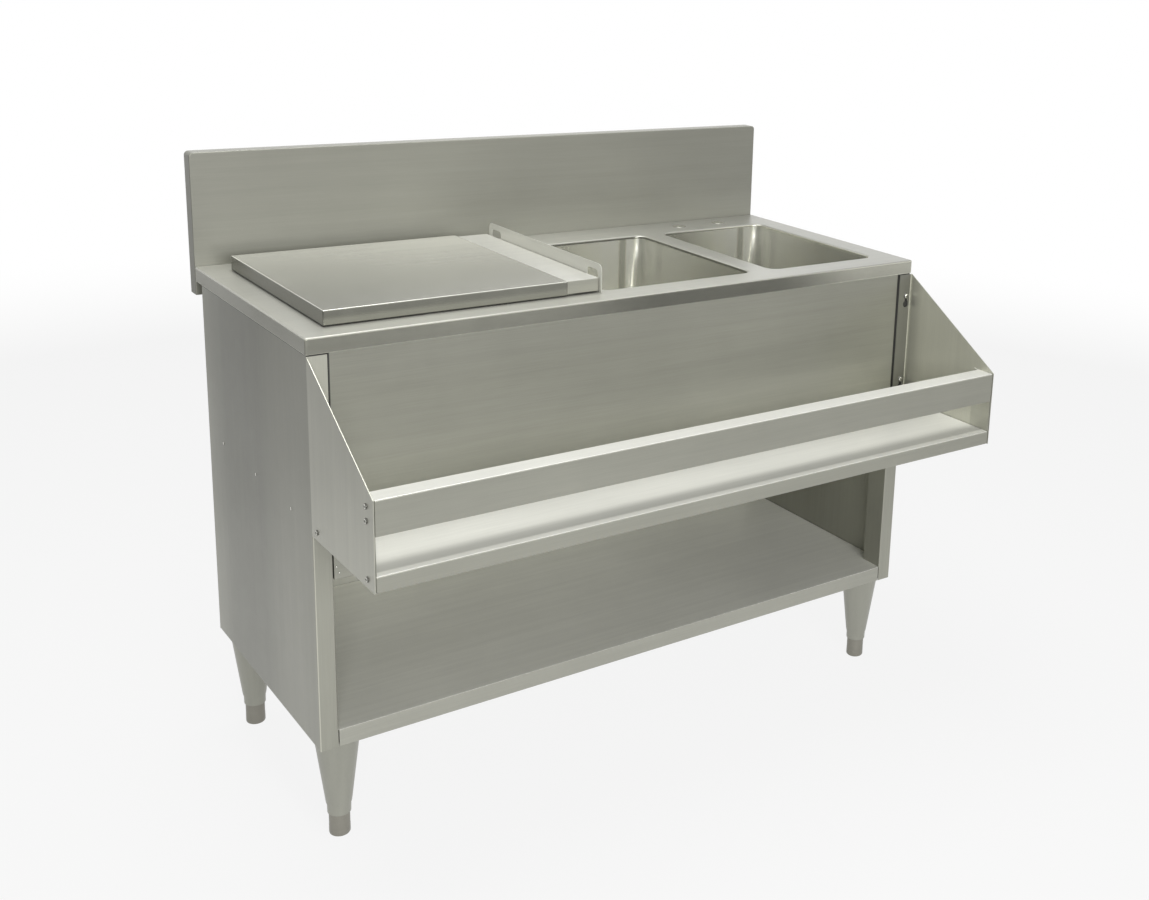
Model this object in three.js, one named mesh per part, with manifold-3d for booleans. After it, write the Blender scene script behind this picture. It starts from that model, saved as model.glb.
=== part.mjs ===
// Bar sink with an ice bin: worktop with two bowls, insulated bin, open cabinet on four legs and a speed
// rail. Millimetres, +Z up. Pieces are drawn from the worktop's front left top corner: X to the right, Y to
// the back, Z up from the worktop's surface. The outer group moves that corner so that the whole stands on
// z = 0, in the middle.

import * as THREE from 'three';
import { mergeVertices } from 'three/addons/utils/BufferGeometryUtils.js';
import Module from 'manifold-3d';

const wasm = await Module();
wasm.setup();

// ---- Sheet and fits ----
const TOP_SHEET = 1.5;          // worktop sheet
const SHEET = 1.2;              // every other folded panel
const FIT = 0.3;                // gap between two pieces that touch
const SEAM = 1.5;               // open seam between the apron or shelf lip and a stile
const CUT = 1;                  // how far a cut runs past the face it opens
const STEPS = 1e4;              // corners lie on ten-thousandths, so that flush faces are exactly flush

// ---- Worktop ----
const LENGTH = 1219;            // 48 in, left end to right end
const DEPTH = 533;              // front edge to the backsplash
const TOP_HEIGHT = 864;         // 34 in, floor to worktop
const EDGE_DROP = 26;           // turned-down edge

// ---- Backsplash ----
const SPLASH_RISE = 200;        // above the worktop
const SPLASH_DROP = 51.5;       // below the worktop at the back
const SPLASH_THICKNESS = 30;
const SPLASH_CORNER = 7.5;      // rounding of its two upper corners

// ---- Bowls ----
const RIGHT_LAND = 53;          // worktop between the right bowl and the right end
const RIGHT_BOWL_WIDTH = 254;
const BOWL_WEB = 47;            // worktop between the bowls
const LEFT_BOWL_WIDTH = 325;
const BOWL_FRONT_LAND = 59;
const BOWL_BACK_LAND = 95;
const BOWL_DEPTH = 254;
const BOWL_CORNER = 38;         // coved upright corners
const BOWL_FILLET = 22;         // round between wall and floor
const CUTOUT_CORNER = 22;       // corners of the openings in the worktop
const BOWL_FLANGE = 6;          // rim under the worktop

// ---- Bowl wastes ----
const CUP_RADIUS = 43;          // strainer cup, outside
const CUP_DEPTH = 34;
const CUP_FLANGE = 13;          // flange beyond the cup
const CUP_WALL = 1.5;
const OUTLET_RADIUS = 22;
const OUTLET_LENGTH = 24;
const NUT_WIDTH = 8;            // locknut's ring, across
const NUT_HEIGHT = 9;
const TAILPIECE_RADIUS = 19;
const TAILPIECE_LENGTH = 66;
const BASKET_DEPTH = 20;
const BASKET_HOLE_RADIUS = 3.2;
const KNOB_RADIUS = 5;
const KNOB_RISE = 30;           // knob's top above the basket's floor

// ---- Tap holes ----
const TAP_SPACING = 101.6;      // 4 in
const TAP_HOLE_RADIUS = 11;
const TAP_CAP_RADIUS = 14;
const TAP_CAP_RISE = 2;
const TAP_CAP_STEM = 6;         // cap's stem below the worktop's sheet
const TAP_HOLE_BACK = 52;       // from the backsplash

// ---- Splash plate, cover strip and lid ----
const PLATE_TO_BOWL = 8.8;      // splash plate's right face to the left bowl
const PLATE_RISE = 49.5;
const PLATE_FRONT = 44;
const PLATE_BACK_LAND = 73;
const PLATE_CORNER = 10;
const PLATE_SLOT_LENGTH = 36;
const PLATE_SLOT_HEIGHT = 18;
const PLATE_SLOT_INSET = 30;    // slot's centre from the plate's end
const PLATE_SLOT_LEVEL = 29.5;
const TAB_LENGTH = 30;
const TAB_DROP = 11;
const STRIP_TO_PLATE = 1;
const STRIP_WIDTH = 61.5;
const STRIP_FRONT = 50;
const STRIP_BACK_LAND = 66;
const STRIP_LIFT = 3.5;         // its rim above the worktop
const LID_TO_STRIP = 0.5;
const LID_LEFT = 46;
const LID_FRONT = 48;
const LID_BACK_LAND = 54;
const LID_LIFT = 1.5;           // its rim above the worktop
const COVER_HEIGHT = 26;        // top of the lid and the strip

// ---- Ice bin ----
const LID_OVERLAP = 16;         // lid beyond the bin's opening at the left
const LID_OVERLAP_ENDS = 14;    // the same at the front
const LID_OVERLAP_BACK = 17;
const STRIP_OVERLAP = 29;       // strip beyond the opening at the right
const BIN_DEPTH = 300;
const BIN_CORNER = 25;
const BIN_FILLET = 18;
const BIN_FLANGE = 12;
const BIN_FACETS = 4;           // steps round each upright corner, the same on all three shells
const FOAM = 25;
const JACKET = 1;
const GRID_RISE = 25;           // perforated floor above the tub's floor
const GRID_CLEARANCE = 4;
const GRID_HOLE_RADIUS = 7;
const GRID_PITCH = 70;
const BIN_OUTLET_RADIUS = 16;
const BIN_OUTLET_LENGTH = 58;
const BIN_OUTLET_FLANGE = 12;

// ---- Cabinet ----
const STILE = 30;               // width of the front stiles
const STILE_RETURN = 49;        // their inward return, front to back
const CABINET_TO_SPLASH = 27.2; // cabinet's back edge to the backsplash
const SIDE_RETURN = 20;         // side panels' return at the back
const LOW_RETURN = 6;           // and at the bottom
const APRON_DROP = 393;         // worktop surface to the apron's lower edge
const APRON_RETURN = 20;
const SHELF_LIP = 30;
const SHELF_FLANGE = 22;

// ---- Legs and feet ----
const LEG_LENGTH = 143;         // cabinet's underside to the leg's lower end
const FOOT_SHOWING = 40;
const LEG_INSET = 45;           // leg's axis from the worktop's end and front
const LEG_TOP_RADIUS = 36.5;
const LEG_END_RADIUS = 19;
const LEG_WALL = 1.5;
const LEG_CROWN = 3;            // thickness of the leg's closed top
const FOOT_INSIDE = 40;         // foot's barrel inside the leg
const FOOT_UP = 30;             // travel up into the leg
const FOOT_DOWN = 20;           // travel down
const LEG_NUT_PLATE = 6;        // threaded plate inside the leg
const PLATE_OVER_FOOT = 12;     // plate above the raised foot's barrel
const SPINDLE_SPARE = 2;        // spindle above the plate with the foot right down
const SPINDLE_RADIUS = 6;       // foot's spindle and leg's stud
const STUD_LENGTH = 16;
const CHANNEL_WIDTH = 78;
const CHANNEL_SHEET = 2.5;
const CHANNEL_TO_LIP = 4;       // front end behind the shelf's lip
const LEG_NUT_RADIUS = 10.5;
const LEG_NUT_HEIGHT = 8;

// ---- Speed rail ----
const RAIL_REACH = 240;         // in front of the worktop's edge
const RAIL_PLATE = 1.5;         // sheet of its end plates
const RAIL_STANDOFF = 0.5;      // rail flange in front of the worktop's edge
const RAIL_TOP = 27.5;          // top of the end plates below the worktop
const RAIL_SHOULDER = 171;      // front of their sloping edge, below the worktop
const RAIL_BOTTOM = 310;
const RAIL_GAP = 0.8;           // end plates to the band and the tray
const BAND_HEIGHT = 54;
const BAND_FLANGE = 35;
const BAND_TAB = 48;            // band's end tabs, front to back
const TRAY_LIP = 24.5;
const TRAY_LIFT = 1;            // tray's lower edge above that of the end plates

// ---- Rail fasteners ----
const HANGER_LEVELS = [71, 243];    // below the worktop
const HANGER_INSET = 12.5;
const HANGER_SHANK = 3;
const HANGER_HEAD = 6.2;
const HANGER_HEAD_HEIGHT = 3;
const HANGER_COLLAR = 5.5;
const HANGER_TAIL = 7;
const KEYHOLE_DROP = 16.4;      // screw centre to the keyhole's round end
const KEYHOLE_SLACK = 0.5;
const KEYHOLE_CLEARANCE = 0.8;
const SCREW_HEAD = 4.4;
const SCREW_HEAD_HEIGHT = 2.2;
const SCREW_SHANK = 2;
const SCREW_LENGTH = 8;
const SCREW_INSET = 25;         // from the rail's front face
const BAND_SCREW_EDGE = 16;     // from the band's upper and lower edges
const REAR_SCREW_INSET = 23;    // rear tray screw from the worktop's front edge

// ---- Places that follow from the sizes ----
const BODY_X = TOP_SHEET + FIT;                       // outer face of the side panels
const BODY_Y = TOP_SHEET + FIT;                       // face of the stiles and the apron
const BACK_Y = DEPTH - CABINET_TO_SPLASH;
const UNDER_TOP = -(TOP_SHEET + FIT);
const STILE_END = BODY_X + STILE;
const CABINET_Z = -(TOP_HEIGHT - LEG_LENGTH - FOOT_SHOWING);
const SHELF_Z = CABINET_Z + SHELF_LIP;
const BOWL_Y = [BOWL_FRONT_LAND, DEPTH - BOWL_BACK_LAND];
const RIGHT_BOWL_X = [LENGTH - RIGHT_LAND - RIGHT_BOWL_WIDTH, LENGTH - RIGHT_LAND];
const LEFT_BOWL_X = [RIGHT_BOWL_X[0] - BOWL_WEB - LEFT_BOWL_WIDTH, RIGHT_BOWL_X[0] - BOWL_WEB];
const PLATE_X = [LEFT_BOWL_X[0] - PLATE_TO_BOWL - SHEET, LEFT_BOWL_X[0] - PLATE_TO_BOWL];
const PLATE_Y = [PLATE_FRONT, DEPTH - PLATE_BACK_LAND];
const STRIP_X = [PLATE_X[0] - STRIP_TO_PLATE - STRIP_WIDTH, PLATE_X[0] - STRIP_TO_PLATE];
const STRIP_Y = [STRIP_FRONT, DEPTH - STRIP_BACK_LAND];
const LID_X = [LID_LEFT, STRIP_X[0] - LID_TO_STRIP];
const LID_Y = [LID_FRONT, DEPTH - LID_BACK_LAND];
const BIN_X = [LID_X[0] + LID_OVERLAP, STRIP_X[1] - STRIP_OVERLAP];
const BIN_Y = [LID_Y[0] + LID_OVERLAP_ENDS, LID_Y[1] - LID_OVERLAP_BACK];
const TAB_CENTRES = [1, 3].map((quarter) => PLATE_Y[0] + (PLATE_Y[1] - PLATE_Y[0]) * quarter / 4);
const RIM_Z = UNDER_TOP;                              // top of the bowls' and bin's rims
const BOWL_FLOOR_Z = RIM_Z - BOWL_DEPTH;
const BIN_FLOOR_Z = RIM_Z - BIN_DEPTH;
const RAIL_BACK = -RAIL_STANDOFF;                     // back face of the rail's rear flanges
const RAIL_FACE = RAIL_BACK - RAIL_PLATE;
const RAIL_INSIDE = RAIL_PLATE + RAIL_GAP;            // outer ends of the band and the tray

const middle = (range) => (range[0] + range[1]) / 2;
const grow = (range, by) => [range[0] - by, range[1] + by];

// ---- Materials ----
const steel = new THREE.MeshStandardMaterial({ color: 0xa6a598, roughness: 0.38, metalness: 1 });
const brightSteel = new THREE.MeshStandardMaterial({ color: 0xc4c3b8, roughness: 0.25, metalness: 1 });
const footSteel = new THREE.MeshStandardMaterial({ color: 0x6f6c62, roughness: 0.45, metalness: 0.9 });
const foamPlastic = new THREE.MeshStandardMaterial({ color: 0xe3d9b4, roughness: 0.9, metalness: 0 });

// ---- From geometry to solid and back ----

// Joins equal corners, drops the flat triangles that leaves and turns the faces outwards.
function closedShell(geometry) {
  geometry.deleteAttribute('normal');
  geometry.deleteAttribute('uv');
  const places = geometry.getAttribute('position').array;
  places.forEach((value, i) => { places[i] = Math.round(value * STEPS) / STEPS; });
  const merged = mergeVertices(geometry, 1 / STEPS);
  const position = merged.getAttribute('position');
  const index = merged.getIndex().array;
  const corners = [0, 1, 2].map(() => new THREE.Vector3());
  const triangles = [];
  let volume = 0;
  for (let i = 0; i < index.length; i += 3) {
    const [a, b, c] = index.slice(i, i + 3);
    if (a === b || b === c || c === a) continue;
    corners.forEach((corner, n) => corner.fromBufferAttribute(position, index[i + n]));
    volume += corners[0].dot(corners[1].clone().cross(corners[2]));
    triangles.push([a, b, c]);
  }
  if (volume < 0) triangles.forEach((triangle) => triangle.reverse());
  return { vertices: new Float32Array(position.array), triangles: new Uint32Array(triangles.flat()) };
}

function solid(geometry) {
  const { vertices, triangles } = closedShell(geometry);
  return new wasm.Manifold(new wasm.Mesh({ numProp: 3, vertProperties: vertices, triVerts: triangles }));
}

// The same piece for the other end of the worktop.
function mirrorImage(manifold) {
  const shell = manifold.getMesh();
  const vertices = shell.vertProperties.map((value, i) => (i % 3 === 0 ? LENGTH - value : value));
  const triangles = shell.triVerts.slice().reverse();
  return new wasm.Manifold(new wasm.Mesh({ numProp: 3, vertProperties: vertices, triVerts: triangles }));
}

const unit = new THREE.Group();

function add(name, manifold, material = steel) {
  const shell = manifold.getMesh();
  const geometry = new THREE.BufferGeometry();
  geometry.setAttribute('position', new THREE.BufferAttribute(new Float32Array(shell.vertProperties), 3));
  geometry.setIndex(new THREE.BufferAttribute(new Uint32Array(shell.triVerts), 1));
  geometry.computeVertexNormals();
  const mesh = new THREE.Mesh(geometry, material);
  mesh.name = name;
  unit.add(mesh);
}

// ---- Shapes ----

function box(x, y, z) {
  const geometry = new THREE.BoxGeometry(x[1] - x[0], y[1] - y[0], z[1] - z[0]);
  return solid(geometry.translate(middle(x), middle(y), middle(z)));
}

function roundedRectangle(x, y, radius) {
  const outline = new THREE.Shape();
  outline.moveTo(x[0] + radius, y[0]);
  outline.absarc(x[1] - radius, y[0] + radius, radius, -Math.PI / 2, 0);
  outline.absarc(x[1] - radius, y[1] - radius, radius, 0, Math.PI / 2);
  outline.absarc(x[0] + radius, y[1] - radius, radius, Math.PI / 2, Math.PI);
  outline.absarc(x[0] + radius, y[0] + radius, radius, Math.PI, Math.PI * 1.5);
  return outline;
}

function upright(outline, z, curveSegments = 6) {
  const geometry = new THREE.ExtrudeGeometry(outline, {
    depth: z[1] - z[0], bevelEnabled: false, curveSegments,
  });
  return solid(geometry.translate(0, 0, z[0]));
}

// An outline given in (Y, Z), as thick as the X range.
function sideways(outline, x, curveSegments = 6) {
  const geometry = new THREE.ExtrudeGeometry(outline, {
    depth: x[1] - x[0], bevelEnabled: false, curveSegments,
  });
  geometry.rotateX(Math.PI / 2);
  geometry.rotateZ(Math.PI / 2);
  return solid(geometry.translate(x[0], 0, 0));
}

// An outline given in (X, Z), as thick as the Y range.
function frontways(outline, y, curveSegments = 6) {
  const geometry = new THREE.ExtrudeGeometry(outline, {
    depth: y[1] - y[0], bevelEnabled: false, curveSegments,
  });
  geometry.rotateX(Math.PI / 2);
  return solid(geometry.translate(0, y[1], 0));
}

// A block with coved corners and a rounded lower edge.
function tubBlock(x, y, z, corner, fillet, curveSegments) {
  const geometry = new THREE.ExtrudeGeometry(roundedRectangle(x, y, corner), {
    depth: z[1] - z[0], curveSegments,
    bevelEnabled: true, bevelThickness: fillet, bevelSize: fillet, bevelOffset: -fillet, bevelSegments: 3,
  });
  const long = solid(geometry.translate(0, 0, z[0] + fillet));
  return long.intersect(box(grow(x, fillet), grow(y, fillet), [z[0] - fillet, z[1]]));
}

// A turned piece about a vertical axis; profile points are [radius, height].
function turned(profile, x, y, z, segments = 20) {
  const points = profile.map(([radius, height]) => new THREE.Vector2(radius, height));
  const geometry = new THREE.LatheGeometry(points, segments);
  geometry.rotateX(Math.PI / 2);
  return solid(geometry.translate(x, y, z));
}

function rod(radius, x, y, z, segments = 20) {
  const height = z[1] - z[0];
  return turned([[0, 0], [radius, 0], [radius, height], [0, height]], x, y, z[0], segments);
}

const BACKWARDS = new THREE.Vector3(0, 1, 0);
const RIGHTWARDS = new THREE.Vector3(1, 0, 0);
const LEFTWARDS = new THREE.Vector3(-1, 0, 0);

// A turned screw; profile points are [radius, distance from the head's outer face], along the unit direction.
function screw(profile, at, direction, segments = 12) {
  const points = profile.map(([radius, along]) => new THREE.Vector2(radius, along));
  const geometry = new THREE.LatheGeometry(points, segments);
  const turn = new THREE.Quaternion().setFromUnitVectors(new THREE.Vector3(0, 1, 0), direction);
  geometry.applyQuaternion(turn);
  return solid(geometry.translate(at.x, at.y, at.z));
}

// ---- Worktop ----

const tapX = [-1, 1].map((side) => middle(RIGHT_BOWL_X) + side * TAP_SPACING / 2);
const tapY = DEPTH - TAP_HOLE_BACK;
const curbTop = COVER_HEIGHT - SHEET - FIT;

function worktop() {
  const deck = box([0, LENGTH], [0, DEPTH], [-EDGE_DROP, 0]);
  const under = box(
    [TOP_SHEET, LENGTH - TOP_SHEET], [TOP_SHEET, DEPTH - TOP_SHEET], [-EDGE_DROP - CUT, -TOP_SHEET]);
  const through = [-EDGE_DROP - CUT, CUT];
  let sheet = deck.subtract(under)
    .subtract(upright(roundedRectangle(BIN_X, BIN_Y, BIN_CORNER), through));
  for (const x of [LEFT_BOWL_X, RIGHT_BOWL_X]) {
    sheet = sheet.subtract(upright(roundedRectangle(x, BOWL_Y, CUTOUT_CORNER), through));
  }
  for (const x of tapX) {
    sheet = sheet.subtract(rod(TAP_HOLE_RADIUS, x, tapY, through));
  }
  for (const y of TAB_CENTRES) {
    const slot = grow([y - TAB_LENGTH / 2, y + TAB_LENGTH / 2], FIT);
    sheet = sheet.subtract(box(grow(PLATE_X, FIT), slot, through));
  }
  return sheet;
}
add('worktop', worktop());

// The upstand round the bin's opening, which the lid and the cover strip rest on.
function binCurb() {
  return upright(
    roundedRectangle(grow(BIN_X, TOP_SHEET), grow(BIN_Y, TOP_SHEET), BIN_CORNER + TOP_SHEET), [FIT, curbTop])
    .subtract(upright(roundedRectangle(BIN_X, BIN_Y, BIN_CORNER), [FIT - CUT, curbTop + CUT]));
}
add('bin_curb', binCurb());

function tapHoleCap(x) {
  const stem = TAP_HOLE_RADIUS - FIT;
  const low = -TOP_SHEET - TAP_CAP_STEM - FIT;
  return turned([
    [0, low], [stem, low], [stem, 0], [TAP_CAP_RADIUS, 0], [TAP_CAP_RADIUS, 0.7],
    [TAP_CAP_RADIUS * 0.8, TAP_CAP_RISE * 0.8], [TAP_CAP_RADIUS * 0.4, TAP_CAP_RISE], [0, TAP_CAP_RISE],
  ], x, tapY, FIT);
}
add('tap_hole_cap_left', tapHoleCap(tapX[0]), brightSteel);
add('tap_hole_cap_right', tapHoleCap(tapX[1]), brightSteel);

// ---- Backsplash: a box panel open at the bottom ----

function backsplash() {
  const y = [DEPTH + FIT, DEPTH + SPLASH_THICKNESS];
  const outline = (inset) => {
    const low = -SPLASH_DROP - (inset > 0 ? CUT : 0);
    const high = SPLASH_RISE - inset;
    const round = SPLASH_CORNER - inset;
    const shape = new THREE.Shape();
    shape.moveTo(inset, low);
    shape.lineTo(LENGTH - inset, low);
    shape.lineTo(LENGTH - inset, high - round);
    shape.absarc(LENGTH - inset - round, high - round, round, 0, Math.PI / 2);
    shape.lineTo(inset + round, high);
    shape.absarc(inset + round, high - round, round, Math.PI / 2, Math.PI);
    return shape;
  };
  return frontways(outline(0), y).subtract(frontways(outline(SHEET), grow(y, -SHEET)));
}
add('backsplash', backsplash());

// ---- Tubs: the bowls and the bin's liner ----

function tub(x, y, floor, corner, fillet, flange, curveSegments) {
  const outside = tubBlock(
    grow(x, SHEET), grow(y, SHEET), [floor - SHEET, RIM_Z], corner + SHEET, fillet + SHEET, curveSegments);
  const rim = upright(
    roundedRectangle(grow(x, flange), grow(y, flange), corner), [RIM_Z - SHEET, RIM_Z], curveSegments);
  const inside = tubBlock(x, y, [floor, RIM_Z + CUT], corner, fillet, curveSegments);
  return outside.add(rim).subtract(inside);
}

function bowl(x) {
  const open = CUP_RADIUS + FIT;
  return tub(x, BOWL_Y, BOWL_FLOOR_Z, BOWL_CORNER, BOWL_FILLET, BOWL_FLANGE, 6)
    .subtract(rod(open, middle(x), middle(BOWL_Y), [BOWL_FLOOR_Z - 2 * SHEET, BOWL_FLOOR_Z + SHEET]));
}
add('bowl_left', bowl(LEFT_BOWL_X));
add('bowl_right', bowl(RIGHT_BOWL_X));

// ---- Wastes of the bowls, turned about each bowl's middle ----

const basketFloor = BOWL_FLOOR_Z - BASKET_DEPTH;
const cupBottom = BOWL_FLOOR_Z - CUP_DEPTH;
const outletEnd = cupBottom - OUTLET_LENGTH;

function drainCup(x) {
  const flangeTop = BOWL_FLOOR_Z + FIT + CUP_WALL;
  return turned([
    [OUTLET_RADIUS, outletEnd], [OUTLET_RADIUS, cupBottom], [CUP_RADIUS, cupBottom],
    [CUP_RADIUS, BOWL_FLOOR_Z + FIT], [CUP_RADIUS + CUP_FLANGE, BOWL_FLOOR_Z + FIT],
    [CUP_RADIUS + CUP_FLANGE - 2, flangeTop], [CUP_RADIUS - CUP_WALL, flangeTop],
    [CUP_RADIUS - CUP_WALL, cupBottom + CUP_WALL], [OUTLET_RADIUS - CUP_WALL, cupBottom + CUP_WALL],
    [OUTLET_RADIUS - CUP_WALL, outletEnd], [OUTLET_RADIUS, outletEnd],
  ], x, middle(BOWL_Y), 0);
}

function drainLocknut(x) {
  const top = BOWL_FLOOR_Z - SHEET - FIT;
  const inner = CUP_RADIUS + FIT;
  const profile = [
    [inner, top - NUT_HEIGHT], [inner + NUT_WIDTH, top - NUT_HEIGHT], [inner + NUT_WIDTH, top],
    [inner, top], [inner, top - NUT_HEIGHT],
  ];
  return turned(profile, x, middle(BOWL_Y), 0);
}

function tailpiece(x) {
  const top = outletEnd - FIT;
  const bottom = top - TAILPIECE_LENGTH;
  const bore = TAILPIECE_RADIUS - CUP_WALL;
  return turned([
    [bore, bottom], [TAILPIECE_RADIUS, bottom], [TAILPIECE_RADIUS, top - 2 * CUP_WALL],
    [OUTLET_RADIUS, top - 2 * CUP_WALL], [OUTLET_RADIUS, top], [bore, top], [bore, bottom],
  ], x, middle(BOWL_Y), 0);
}

// The basket hangs by its rim on the cup's flange and lifts out by its knob.
function basketStrainer(x) {
  const y = middle(BOWL_Y);
  const rimZ = BOWL_FLOOR_Z + FIT + CUP_WALL + FIT;
  const radius = CUP_RADIUS - CUP_WALL - 1.5;
  const bottom = basketFloor;
  const knobTop = bottom + KNOB_RISE;
  let basket = turned([
    [0, bottom], [radius - 4, bottom], [radius, rimZ], [radius + 4, rimZ], [radius + 4, rimZ + CUP_WALL],
    [radius - CUP_WALL, rimZ + CUP_WALL], [radius - 4 - CUP_WALL, bottom + CUP_WALL],
    [KNOB_RADIUS / 2, bottom + CUP_WALL], [KNOB_RADIUS / 2, knobTop - 6], [KNOB_RADIUS, knobTop - 5],
    [KNOB_RADIUS, knobTop - 1], [KNOB_RADIUS - 1, knobTop], [0, knobTop],
  ], x, y, 0);
  for (const [count, ring] of [[4, 13], [8, 26]]) {
    for (let i = 0; i < count; i += 1) {
      const angle = 2 * Math.PI * i / count;
      const holeX = x + ring * Math.cos(angle);
      const holeY = y + ring * Math.sin(angle);
      const through = [bottom - CUT, bottom + 2 * CUP_WALL];
      basket = basket.subtract(rod(BASKET_HOLE_RADIUS, holeX, holeY, through, 6));
    }
  }
  return basket;
}

for (const [side, bowlX] of [['left', LEFT_BOWL_X], ['right', RIGHT_BOWL_X]]) {
  const x = middle(bowlX);
  add(`drain_cup_${side}`, drainCup(x), brightSteel);
  add(`drain_locknut_${side}`, drainLocknut(x), brightSteel);
  add(`tailpiece_${side}`, tailpiece(x), brightSteel);
  add(`basket_strainer_${side}`, basketStrainer(x), brightSteel);
}

// ---- Ice bin: liner, foam, jacket, false bottom and waste ----

const binCentre = { x: middle(BIN_X), y: middle(BIN_Y) };
const foamInner = SHEET + FIT;
const foamOuter = foamInner + FOAM;
const jacketInner = foamOuter + FIT;
const jacketOuter = jacketInner + JACKET;
const binOutletHole = BIN_OUTLET_RADIUS + FIT;
const shellTop = RIM_Z - SHEET - FIT;

function binLiner() {
  return tub(BIN_X, BIN_Y, BIN_FLOOR_Z, BIN_CORNER, BIN_FILLET, BIN_FLANGE, BIN_FACETS)
    .subtract(rod(binOutletHole, binCentre.x, binCentre.y, [BIN_FLOOR_Z - 2 * SHEET, BIN_FLOOR_Z + SHEET]));
}

// An open shell round the liner, from one distance beyond it to another.
function binShell(inner, outer) {
  const shell = (by, top) => tubBlock(
    grow(BIN_X, by), grow(BIN_Y, by), [BIN_FLOOR_Z - by, top], BIN_CORNER + by, BIN_FILLET + by, BIN_FACETS);
  return shell(outer, shellTop)
    .subtract(shell(inner, shellTop + CUT))
    .subtract(rod(binOutletHole, binCentre.x, binCentre.y, [BIN_FLOOR_Z - outer - CUT, BIN_FLOOR_Z]));
}

function binFalseBottom() {
  const by = -(GRID_CLEARANCE + BIN_FILLET / 2);
  const x = grow(BIN_X, by);
  const y = grow(BIN_Y, by);
  const top = BIN_FLOOR_Z + GRID_RISE;
  const corner = BIN_CORNER + by;
  let plate = upright(roundedRectangle(x, y, corner), [BIN_FLOOR_Z + FIT + BIN_FILLET / 3, top], 5)
    .subtract(upright(roundedRectangle(grow(x, -SHEET), grow(y, -SHEET), corner - SHEET),
      [BIN_FLOOR_Z - CUT, top - SHEET], 5));
  const feet = [x[0] + 2 * GRID_PITCH / 3, x[1] - 2 * GRID_PITCH / 3];
  for (const footX of feet) {
    for (const footY of [y[0] + 2 * GRID_PITCH / 3, y[1] - 2 * GRID_PITCH / 3]) {
      plate = plate.add(rod(GRID_HOLE_RADIUS, footX, footY, [BIN_FLOOR_Z + FIT, top - SHEET / 2], 12));
    }
  }
  const columns = Math.floor((x[1] - x[0]) / GRID_PITCH) - 1;
  const rows = Math.floor((y[1] - y[0]) / GRID_PITCH) - 1;
  for (let column = 0; column < columns; column += 1) {
    for (let row = 0; row < rows; row += 1) {
      const holeX = middle(x) + (column - (columns - 1) / 2) * GRID_PITCH;
      const holeY = middle(y) + (row - (rows - 1) / 2) * GRID_PITCH;
      plate = plate.subtract(rod(GRID_HOLE_RADIUS, holeX, holeY, [top - 2 * SHEET, top + CUT], 8));
    }
  }
  return plate;
}

function binDrain() {
  const z = BIN_FLOOR_Z + FIT;
  const bore = BIN_OUTLET_RADIUS - CUP_WALL;
  return turned([
    [bore, z - BIN_OUTLET_LENGTH], [BIN_OUTLET_RADIUS, z - BIN_OUTLET_LENGTH], [BIN_OUTLET_RADIUS, z],
    [BIN_OUTLET_RADIUS + BIN_OUTLET_FLANGE, z], [BIN_OUTLET_RADIUS + BIN_OUTLET_FLANGE, z + CUP_WALL],
    [bore, z + CUP_WALL], [bore, z - BIN_OUTLET_LENGTH],
  ], binCentre.x, binCentre.y, 0);
}

function binDrainNut() {
  const top = BIN_FLOOR_Z - jacketOuter - FIT;
  const inner = BIN_OUTLET_RADIUS + FIT;
  return turned([
    [inner, top - NUT_HEIGHT], [inner + NUT_WIDTH, top - NUT_HEIGHT], [inner + NUT_WIDTH, top],
    [inner, top], [inner, top - NUT_HEIGHT],
  ], binCentre.x, binCentre.y, 0);
}

add('bin_liner', binLiner());
add('bin_insulation', binShell(foamInner, foamOuter), foamPlastic);
add('bin_jacket', binShell(jacketInner, jacketOuter));
add('bin_false_bottom', binFalseBottom());
add('bin_drain', binDrain(), brightSteel);
add('bin_drain_nut', binDrainNut(), brightSteel);

// ---- Covers of the bin: pans without a rim where they meet ----

function binLid() {
  return box(LID_X, LID_Y, [LID_LIFT, COVER_HEIGHT])
    .subtract(box([LID_X[0] + SHEET, LID_X[1] + CUT], grow(LID_Y, -SHEET),
      [LID_LIFT - CUT, COVER_HEIGHT - SHEET]));
}

function coverStrip() {
  return box(STRIP_X, STRIP_Y, [STRIP_LIFT, COVER_HEIGHT])
    .subtract(box([STRIP_X[0] - CUT, STRIP_X[1] - SHEET], grow(STRIP_Y, -SHEET),
      [STRIP_LIFT - CUT, COVER_HEIGHT - SHEET]));
}

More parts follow.
